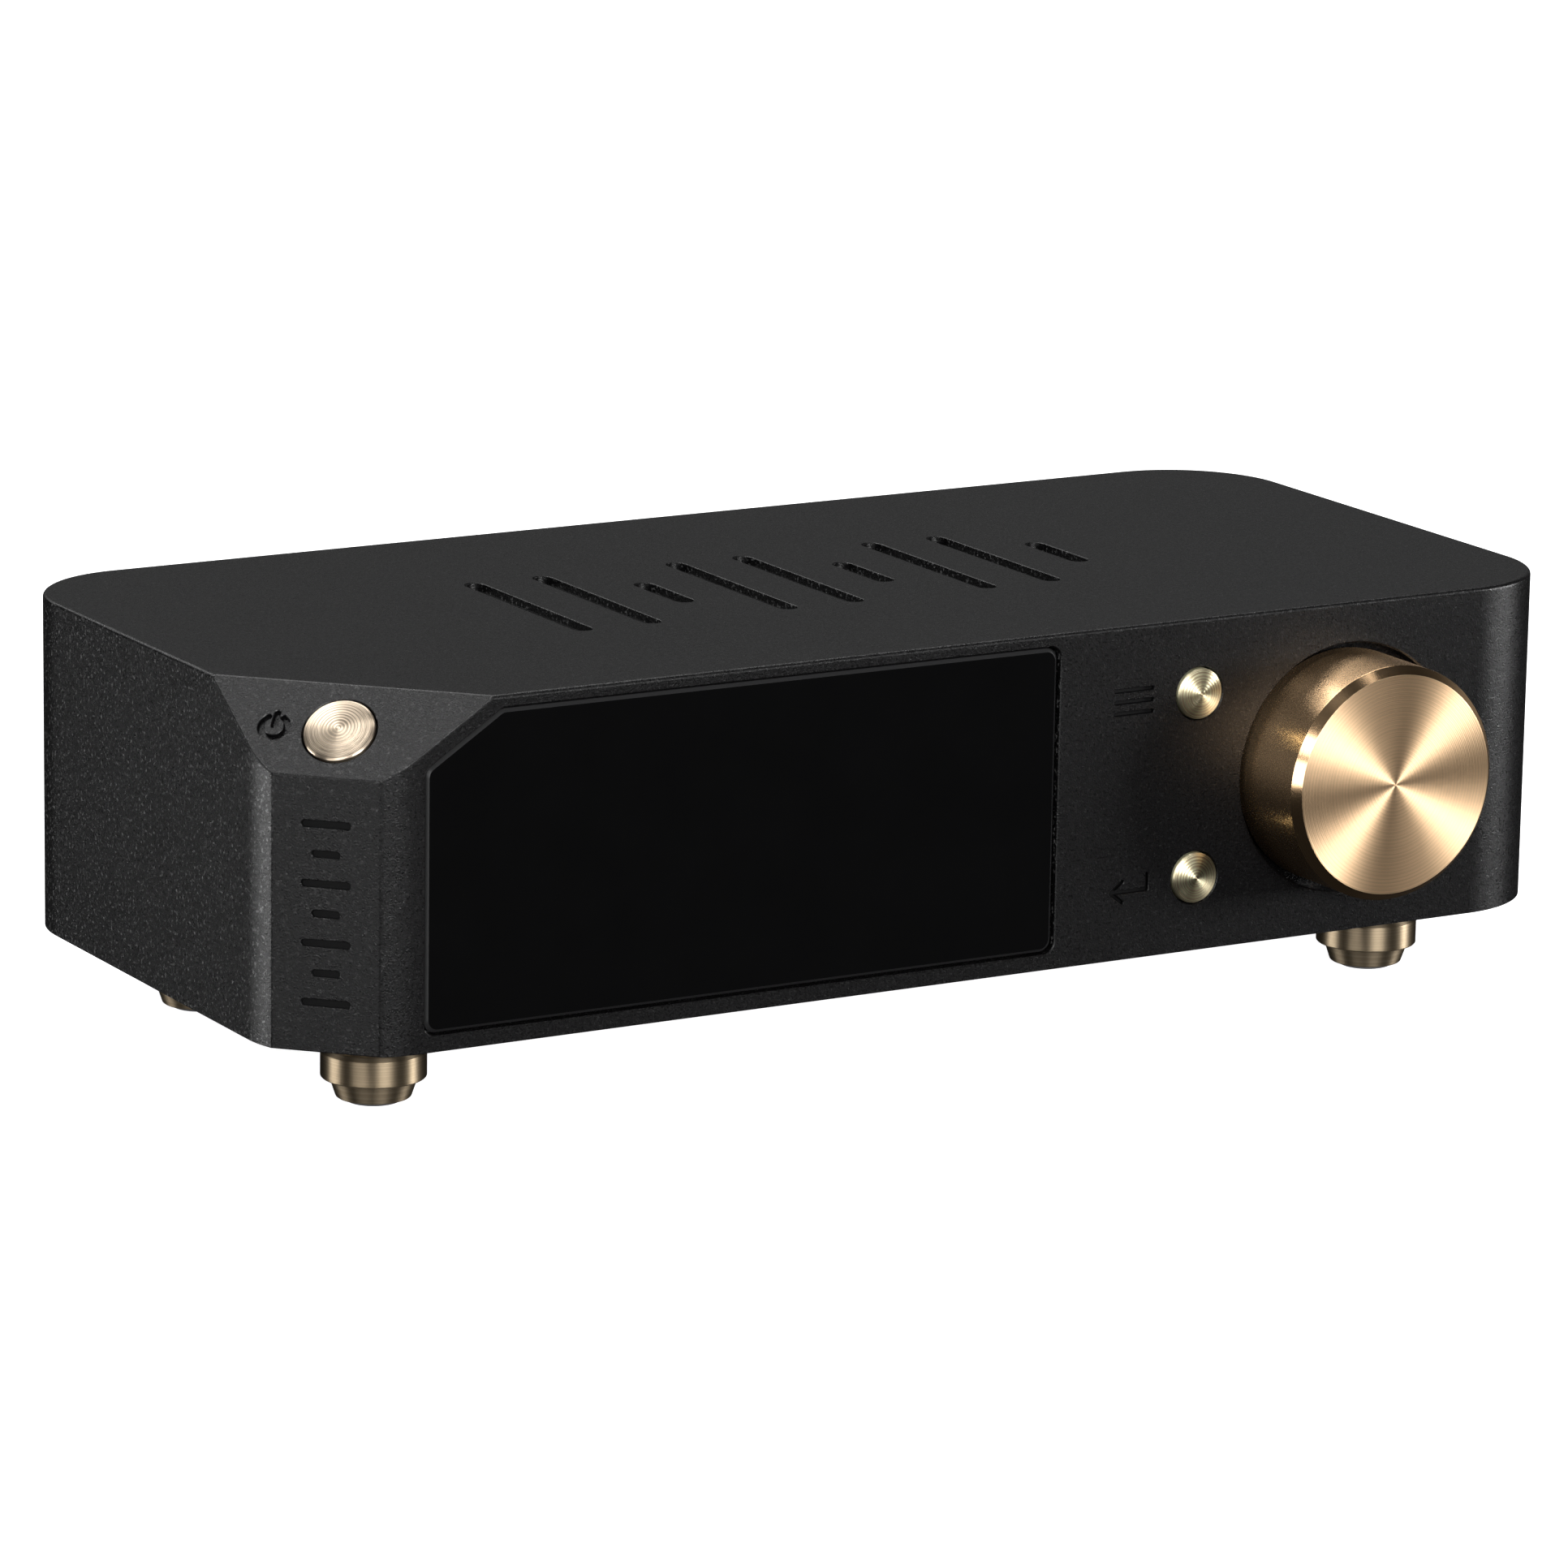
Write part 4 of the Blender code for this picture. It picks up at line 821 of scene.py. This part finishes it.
def cut_front(housing, knob_place):
    """The recesses of the window and the knob, the openings behind them and the buttons' bores."""
    def bore(radius, steps):
        return cylinder(radius + BUTTON_CLEARANCE, -BUTTON_BORE_DEPTH, OVERRUN, steps, 0.1)

    window = sunk(lambda grow: window_outline(-grow), WINDOW_DEPTH)
    recess = cylinder(KNOB_RECESS_RADIUS, -KNOB_RECESS_DEPTH, OVERRUN, 144, 0.2)
    bores = [(bore(BUTTON_RADIUS, 72), over_node(FRONT, node)) for node in ("menu_button", "return_button")]
    cut(housing, (window, FRONT), (recess, knob_place), (bore(POWER_RADIUS, 96), SLOPE), *bores)
    opening = rounded_rectangle(DISPLAY_LOW, DISPLAY_HIGH, 1)
    display_opening = lofted(((opening, -WALL - OVERRUN), (opening, -WINDOW_DEPTH + OVERRUN)))
    encoder_bore = cylinder(ENCODER_BORE, -9, -KNOB_RECESS_DEPTH + OVERRUN)
    cut(housing, (display_opening, FRONT), (encoder_bore, knob_place))


def cut_rear(housing):
    """The stepped opening that holds the rear panel."""
    cut(housing, (sunk(lambda grow: panel_outline(-grow), PANEL_LEDGE), REAR))
    side = PANEL_SIDE + PANEL_SEAT_SIDE
    high = (BODY_WIDTH - side, PANEL_TOP - PANEL_SEAT)
    opening = rounded_rectangle((side, PANEL_BOTTOM + PANEL_SEAT), high, PANEL_CORNER)
    start = -PANEL_LEDGE + OVERRUN
    holes = [(cylinder(1.4, -7, start, 24), moved(REAR, *centre)) for centre in panel_screw_centres()]
    cut(housing, (lofted(((opening, -9), (opening, start))), REAR), *holes)


def make_housing(knob_place):
    form = housing_form(0, 0, BODY_HEIGHT, TOP_CHAMFER, 28)
    ease_facets(form)
    housing = to_object("housing_detail", form, BASE)
    cut(housing, (housing_form(WALL, COVER_REBATE - OVERRUN, BODY_HEIGHT - WALL), BASE))
    cut(housing, (housing_form(COVER_GAP, -OVERRUN, COVER_REBATE), BASE))
    columns = [moved(BASE, *centre) for centre in column_centres()]
    bosses = [(cylinder(2.8, -8, -PANEL_LEDGE), moved(REAR, *centre)) for centre in panel_screw_centres()]
    join(housing, *[(cylinder(COLUMN_RADIUS, COVER_REBATE, COLUMN_TOP), place) for place in columns])
    join(housing, *bosses, (cylinder(KNOB_BOSS_RADIUS, -6.5, -2, 96), knob_place))
    cut(housing, *[(cylinder(COLUMN_BORE, 1, 11, 24), place) for place in columns])
    cut_front(housing, knob_place)
    cut_rear(housing)
    cut(housing, *menu_symbol(), *top_pattern(), *facet_pattern())
    for crossing in zip(power_symbol(), return_symbol()):
        cut(housing, *crossing)
    finish_piece(housing, ["black", "engraved"], stands_for=["housing"])
    # painted shade: the faces inside the strokes get the darker material
    paint(housing, 1, in_painted_groove_shade)


# Front pieces

def make_glass():
    """The window's glass, with a ground bevel round its front."""
    edge = 0.05
    levels = [(window_outline(WINDOW_GROOVE + inset), z)
              for inset, z in ((edge, GLASS_BACK), (0, GLASS_BACK + edge), (0, GLASS_FACE - GLASS_BEVEL),
                               (GLASS_BEVEL, GLASS_FACE))]
    glass = to_object("display_window_detail", lofted(levels), FRONT)
    finish_piece(glass, ["glass", "glass_edge"], stands_for=["display_window"])
    paint(glass, 1, lambda x, y, z: z < GLASS_FACE - edge)


def knob_profile():
    """Grooved face with a plain rim, polished chamfer, side and the hollow back that clears the nut."""
    face_edge = KNOB_RADIUS - KNOB_CHAMFER
    bore_end = KNOB_OUT - 2.4
    face = grooved(face_edge - 0.25, lambda radius: KNOB_OUT, KNOB_PITCH, KNOB_GROOVE)
    body = ((face_edge - 0.2, KNOB_OUT), (face_edge, KNOB_OUT), (KNOB_RADIUS, KNOB_OUT - KNOB_CHAMFER_HEIGHT),
            (KNOB_RADIUS, -1.9), (KNOB_RADIUS - 0.3, -2.2), (12.5, -2.2), (12.5, 0.6), (3.2, 0.6),
            (3.2, bore_end), (0, bore_end))
    return face + eased(body, 0.06)


def make_knob(place):
    knob = to_object("knob_detail", turned(knob_profile(), 160), place)
    under = face_frame(moved(place, 0, 0, 4).to_translation(), RIGHT, -REARWARD)
    screw_way = cylinder(1.65, 2, KNOB_RADIUS + OVERRUN, 32)
    cut(knob, (screw_way, under))
    finish_piece(knob, ["gold_side", "gold_face", "gold_edge"], "knob_turn", ["knob"])
    margin = 0.02
    low = KNOB_OUT - KNOB_CHAMFER_HEIGHT - margin
    inner = KNOB_RADIUS - KNOB_CHAMFER - 0.1
    paint(knob, 1, lambda x, y, z: z > KNOB_OUT - 0.03)
    paint(knob, 2, lambda x, y, z: low < z < KNOB_OUT - margin and math.hypot(x, y) > inner)


def button_profile(radius, dome, stem_end):
    """Grooved dome with a plain rim, retaining flange and stem."""
    def height(distance):
        return dome * math.sqrt(max(0, 1 - (distance / radius) ** 2))

    grooves = grooved(radius * 0.9, height, BUTTON_PITCH, BUTTON_GROOVE)
    start = math.degrees(math.asin(0.93))
    rim = [(radius * math.sin(angle), dome * math.cos(angle))
           for angle in (math.radians(start + (90 - start) * step / 5) for step in range(6))]
    flange = radius + BUTTON_FLANGE
    back = [(radius, -4.3), (flange, -4.3), (flange, -5.1), (BUTTON_STEM, -5.1), (BUTTON_STEM, stem_end),
            (0, stem_end)]
    return grooves + rim + back


def make_button(name, place, radius, dome, stem_end, material="gold_button"):
    button = to_object(f"{name}_button_detail", turned(button_profile(radius, dome, stem_end), 96), place)
    finish_piece(button, [material], f"{name}_key", [f"{name}_button"])


def make_buttons():
    for name in ("menu", "return"):
        make_button(name, over_node(FRONT, f"{name}_button"), BUTTON_RADIUS, BUTTON_DOME, -8.1)
    make_button("power", SLOPE, POWER_RADIUS, POWER_DOME, -5.9, "gold_power")


# Feet and bottom

def foot_profile():
    """Stud, neck, chamfered collar, cone and the pocket for the rubber pad."""
    stud = ((0, 4.6), (1.6, 4.6), (2, 4.2), (2, -0.3))
    neck = ((4.6, -0.3), (4.6, -3.65))
    collar = ((5.88, -3.65), (6.43, -4.2), (6.43, -7.25), (6.28, -7.4))
    cone = ((5.4, -7.4), (4.6, -9.75), (4.45, -9.88), (3.85, -9.88))
    pocket = ((3.85, -8.5), (0, -8.5))
    return eased(stud + neck + collar + cone + pocket, 0.07)


def pad_profile():
    top = -8.8
    outer = ((0, top), (3.55, top), (3.55, 0.25 - FOOT_HEIGHT), (3.3, -FOOT_HEIGHT), (0, -FOOT_HEIGHT))
    return eased(outer, 0.12)


def make_feet():
    for corner in FOOT_CORNERS:
        place = over_node(BASE, f"foot_{corner}")
        foot = to_object(f"foot_{corner}_detail", turned(foot_profile(), 96), place)
        finish_piece(foot, ["gold_foot"], stands_for=[f"foot_{corner}"])
        pad = to_object(f"foot_pad_{corner}_detail", turned(pad_profile(), 64), place)
        finish_piece(pad, ["rubber"], stands_for=[f"foot_pad_{corner}"])


def screw_piece(name, profile, place, socket_radius, socket_depth):
    """A turned screw with a hexagonal socket in its head."""
    screw = to_object(f"{name}_detail", turned(eased(profile, 0.08), 48), place)
    top = profile[0][1]
    cut(screw, (cylinder(socket_radius, top - socket_depth, top + OVERRUN, 6), place))
    finish_piece(screw, ["steel"], stands_for=[name])


def make_bottom():
    form = housing_form(COVER_INSET, 0, COVER_THICKNESS, 0.0, 16)
    cover = to_object("bottom_cover_detail", form, BASE)
    feet = [over_node(BASE, f"foot_{corner}") for corner in FOOT_CORNERS]
    standoffs = [moved(BASE, x, y) for y in (24, 58) for x in (26, 154)]
    join(cover, *[(cylinder(4, 1.7, 5.4), place) for place in feet],
         *[(cylinder(3, 1.7, 10.4, 32), place) for place in standoffs])
    cut(cover, *[(cylinder(2.3, -OVERRUN, 6.4, 32), place) for place in feet],
        *[(cylinder(1.2, 4, 11.4, 24), place) for place in standoffs])
    for index, (x, y) in enumerate(column_centres()):
        below = face_frame(body_point(x, y, 0), RIGHT, -REARWARD)
        sink = turned(((0, OVERRUN), (4.6, OVERRUN), (1.8, -1.8), (1.8, -4), (0, -4)), 48)
        cut(cover, (sink, below))
        profile = ((0, 0), (2.9, 0), (2.9, -0.2), (1.4, -1.7), (1.4, -9), (0, -9))
        screw_piece(f"cover_screw_{index + 1}", profile, moved(below, 0, 0, -0.1), 1.2, 1.2)
    finish_piece(cover, ["black"], stands_for=["bottom_cover"])


# Rear, seen from behind

ROUND_SOCKETS = {"line_out_right": "red_plastic", "line_out_left": "white_plastic",
                 "coaxial_input": "orange_plastic"}
# Width, height and corner radius of the other sockets
SHAPED_SOCKETS = {"optical_input": (10, 10, 0.6), "digital_port": (15, 6, 1), "data_port": (9, 3.3, 1.6),
                  "power_port": (9, 3.3, 1.6)}
SOCKET_FACE = -0.4
JACK_AXIS_BELOW_TOP = 5
SHUTTER_WIDTH = 7.6
SHUTTER_HEIGHT = 7.4
SHUTTER_THICKNESS = 0.7
SHUTTER_DEPTH = -2.2
SHUTTER_TOP = 3.75


def socket_place(name):
    """The frame of a socket in the rear face.

    A round socket's block reaches down to the board, so its axis is set from the top of the block.
    """
    place = over_node(REAR, name)
    if name in ROUND_SOCKETS:
        rise = (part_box(name)[1] - place.to_translation()).z / MM
        place = moved(place, 0, rise - JACK_AXIS_BELOW_TOP)
    return place


def socket_shell(name, place):
    """The closed outer form of a shaped socket, with a chamfer round its face."""
    edge = 0.12
    levels = [(centred_rectangle(*SHAPED_SOCKETS[name], grow), z)
              for grow, z in ((0, -14), (0, SOCKET_FACE - edge), (-edge, SOCKET_FACE))]
    return to_object(f"{name}_detail", lofted(levels), place)


def make_rear_panel():
    """Panel with the openings for its screws and sockets."""
    edge = 0.2
    outline = panel_outline(PANEL_GAP)
    levels = ((outline, -PANEL_FACE - PANEL_THICKNESS), (outline, -PANEL_FACE - edge),
              (panel_outline(PANEL_GAP + edge), -PANEL_FACE))
    panel = to_object("rear_panel_detail", lofted(levels), REAR)
    face = moved(REAR, 0, 0, -PANEL_FACE)
    holes = [(cylinder(1.6, -4, OVERRUN, 32, 0.1), moved(face, *centre)) for centre in panel_screw_centres()]
    for name in ROUND_SOCKETS:
        holes.append((cylinder(4.45, -4, OVERRUN, 64, 0.1), moved(socket_place(name), 0, 0, -PANEL_FACE)))
    for name, size in SHAPED_SOCKETS.items():
        opening = sunk(lambda grow: centred_rectangle(*size, 0.3 + grow), 4)
        holes.append((opening, moved(socket_place(name), 0, 0, -PANEL_FACE)))
    cut(panel, *holes)
    finish_piece(panel, ["black"], stands_for=["rear_panel"])


def make_panel_screws():
    for index, centre in enumerate(panel_screw_centres()):
        profile = ((0, 1.2), (1.5, 1.2), (2, 0.66), (2, 0), (1.15, 0), (1.15, -5.5), (0, -5.5))
        screw_piece(f"panel_screw_{index + 1}", profile, moved(REAR, *centre, 0.3 - PANEL_FACE), 0.9, 0.7)


def make_round_sockets():
    """Base block, gold barrel with a groove round it, coloured insulator and hollow centre contact."""
    for name, colour in ROUND_SOCKETS.items():
        place = socket_place(name)
        drop = (place.to_translation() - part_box(name)[0]).z / MM
        block = ((-5, -drop), (5, -drop), (5, JACK_AXIS_BELOW_TOP), (-5, JACK_AXIS_BELOW_TOP))
        socket = to_object(f"{name}_detail", lofted(((block, -16), (block, -3))), place)
        barrel = ((0, 7), (2, 7), (2, 6.2), (3.5, 6.2), (3.5, 8), (4.15, 8), (4.15, 6.9), (3.95, 6.7),
                  (3.95, 6.3), (4.15, 6.1), (4.15, -4), (0, -4))
        join(socket, (turned(eased(barrel, 0.08), 72), place))
        cut(socket, (cylinder(1.6, -8, 9, 48), place))
        finish_piece(socket, ["jack_gold"], stands_for=[name])
        ring = eased(((2.15, 7.3), (3.35, 7.3), (3.35, 6.3), (2.15, 6.3), (2.15, 7.3)), 0.06)[:-1]
        insulator = to_object(f"{name}_insulator", turned(ring, 72, closed=True), place)
        finish_piece(insulator, [colour])


def make_ports():
    """Metal shells with an open mouth and a contact tongue."""
    for name in ("digital_port", "data_port", "power_port"):
        width, height, corner = SHAPED_SOCKETS[name]
        place = socket_place(name)
        shell = socket_shell(name, place)
        wall = 0.4
        mouth = [(centred_rectangle(width, height, corner, grow), z)
                 for grow, z in ((-wall, -10), (-wall, -0.6), (-wall + 0.2, -0.3))]
        cut(shell, (lofted(mouth), place))
        finish_piece(shell, ["steel"], stands_for=[name])
        levels = [(centred_rectangle(width * 0.7, height * 0.24, height * 0.08, grow, 4), z)
                  for grow, z in ((0, -9.95), (0, -1.5), (-0.1, -1.35))]
        tongue = to_object(f"{name}_tongue", lofted(levels), place)
        finish_piece(tongue, ["plastic"])


def make_optical_socket():
    """Square socket and its hinged shutter, which turns on a pin along its top edge."""
    place = socket_place("optical_input")
    socket = socket_shell("optical_input", place)
    mouth = [(centred_rectangle(8.2, 8.2, 0.3, grow), z) for grow, z in ((0, -12), (0, -0.8), (0.5, -0.3))]
    cut(socket, (lofted(mouth), place))
    hinge = moved(place, 0, SHUTTER_TOP - SHUTTER_THICKNESS / 2, SHUTTER_DEPTH)
    sideways = hinge @ Matrix.Rotation(math.radians(90), 4, "Y")
    cut(socket, (cylinder(SHUTTER_THICKNESS / 2 + 0.15, -4.65, 4.65, 24), sideways))
    finish_piece(socket, ["plastic"], stands_for=["optical_input"])
    half = SHUTTER_WIDTH / 2
    low = SHUTTER_TOP - SHUTTER_HEIGHT
    front = SHUTTER_DEPTH + SHUTTER_THICKNESS / 2

    def outline_at(inset):
        corner = 0.45 - min(inset, 0.1)
        return rounded_rectangle((inset - half, inset + low), (half - inset, SHUTTER_TOP - inset), corner)

    levels = [(outline_at(inset), z)
              for inset, z in ((0, front - SHUTTER_THICKNESS), (0, front - 0.1), (0.1, front))]
    shutter = to_object("optical_shutter_detail", lofted(levels), place)
    cut(shutter, (sunk(lambda grow: outline_at(1 - grow), 0.15, 0.05), moved(place, 0, 0, front)))
    join(shutter, (cylinder(SHUTTER_THICKNESS / 2 - 0.02, -4.5, 4.5, 24), sideways))
    finish_piece(shutter, ["plastic"], "optical_door", ["optical_shutter"])


# Studio

# Name, azimuth, elevation, width and height in degrees, and radiance
LIGHTS = (
    ("left_strip", -117, -4.5, 25, 8, 21),
    ("left_front_low", -57, 3, 28, 18, 5),
    ("left_front_high", -45, 23, 20, 14, 7.5),
    ("front", -5, 13, 26, 16, 20),
    ("front_right", 20, 32, 40, 10, 3),
    ("right_strip", 64, 4.5, 13, 12, 47),
    ("overhead", -86, 72, 9, 14, 12),
    ("overhead_right", 60, 76, 8, 11, 7),
    ("back", 160, 58, 44, 18, 4.6),
    ("back_left", -155, 53, 26, 16, 7),
    ("back_low", -165, 30, 22, 10, 3.5),
    ("horizon", 150, 16, 60, 26, 0.12),
)


def light_direction(azimuth, elevation):
    """Unit vector towards a place seen from the object; azimuth 0 is in front and 90 on the right."""
    a = math.radians(azimuth)
    e = math.radians(elevation)
    return Vector((math.sin(a) * math.cos(e), -math.cos(a) * math.cos(e), math.sin(e)))


def softbox(name, azimuth, elevation, across, upright, radiance):
    """A flat light that faces the object; across and upright are the angles that it spans, in degrees."""
    light = bpy.data.lights.new(name, "AREA")
    light.shape = "RECTANGLE"
    light.size = 2 * LIGHT_DISTANCE * math.tan(math.radians(across / 2))
    light.size_y = 2 * LIGHT_DISTANCE * math.tan(math.radians(upright / 2))
    light.energy = radiance * math.pi * light.size * light.size_y
    item = bpy.data.objects.new(name, light)
    out = light_direction(azimuth, elevation)
    item.location = Vector((0, 0, 0.03)) + out * LIGHT_DISTANCE
    item.rotation_euler = out.to_track_quat("Z", "Y").to_euler()
    item.visible_camera = False
    bpy.context.scene.collection.objects.link(item)


def make_lights():
    for light in LIGHTS:
        softbox(*light)


def make_world():
    """A dim surround for light and reflections, seen by the camera as plain white."""
    world = bpy.data.worlds.new("studio")
    world.use_nodes = True
    tree = world.node_tree
    tree.nodes.clear()
    output = tree.nodes.new("ShaderNodeOutputWorld")
    mix = tree.nodes.new("ShaderNodeMixShader")
    path = tree.nodes.new("ShaderNodeLightPath")
    tree.links.new(path.outputs["Is Camera Ray"], mix.inputs["Fac"])
    for socket, strength in ((1, SURROUND), (2, 1)):
        background = tree.nodes.new("ShaderNodeBackground")
        background.inputs["Color"].default_value = (1, 1, 1, 1)
        background.inputs["Strength"].default_value = strength
        tree.links.new(background.outputs["Background"], mix.inputs[socket])
    tree.links.new(mix.outputs["Shader"], output.inputs["Surface"])
    bpy.context.scene.world = world


def floor_material():
    """Pale matt floor, lifted to near white, and clear from below so that the underside can be seen."""
    finish = Finish("pale_floor")
    cloud = finish.noise(60, 2)
    finish.surface(base_color=finish.blend(cloud, (0.8, 0.8, 0.8), (0.84, 0.84, 0.84)), roughness=0.9,
                   specular_ior_level=0.0, emission_color=(1, 1, 1, 1), emission_strength=0.95)
    clear = finish.add("BsdfTransparent").outputs["BSDF"]
    below = finish.add("NewGeometry").outputs["Backfacing"]
    mix = finish.add("MixShader", {"Fac": below, 1: finish.shader.outputs["BSDF"], 2: clear})
    finish.feed(finish.tree.nodes["Material Output"].inputs["Surface"], mix.outputs["Shader"])
    return finish.material


def make_floor():
    bm = bmesh.new()
    bmesh.ops.create_circle(bm, cap_ends=True, segments=96, radius=6000)
    floor = to_object("floor", bm, Matrix.Identity(4))
    floor.data.materials.append(floor_material())
    floor.visible_diffuse = False
    floor.visible_glossy = False
    floor.visible_shadow = False


def make_camera():
    camera = bpy.data.objects.new("camera", bpy.data.cameras.new("camera"))
    camera.data.lens = CAMERA_LENS
    camera.data.sensor_width = 36
    out = light_direction(CAMERA_AZIMUTH, CAMERA_ELEVATION)
    camera.location = (Vector(CAMERA_AIM) + out * CAMERA_DISTANCE) * MM
    level = out.to_track_quat("Z", "Y")
    roll = Matrix.Rotation(math.radians(CAMERA_ROLL), 3, "Z")
    camera.rotation_euler = (level.to_matrix() @ roll).to_euler()
    camera.data.clip_start = 0.05
    camera.data.clip_end = 50
    bpy.context.scene.collection.objects.link(camera)
    bpy.context.scene.camera = camera


finish_cad_nodes()
KNOB_PLACE = over_node(FRONT, "knob")
make_housing(KNOB_PLACE)
make_glass()
make_knob(KNOB_PLACE)
make_buttons()
make_feet()
make_bottom()
make_rear_panel()
make_panel_screws()
make_round_sockets()
make_ports()
make_optical_socket()
make_floor()
make_world()
make_lights()
make_camera()
bpy.context.scene.view_settings.view_transform = "Standard"
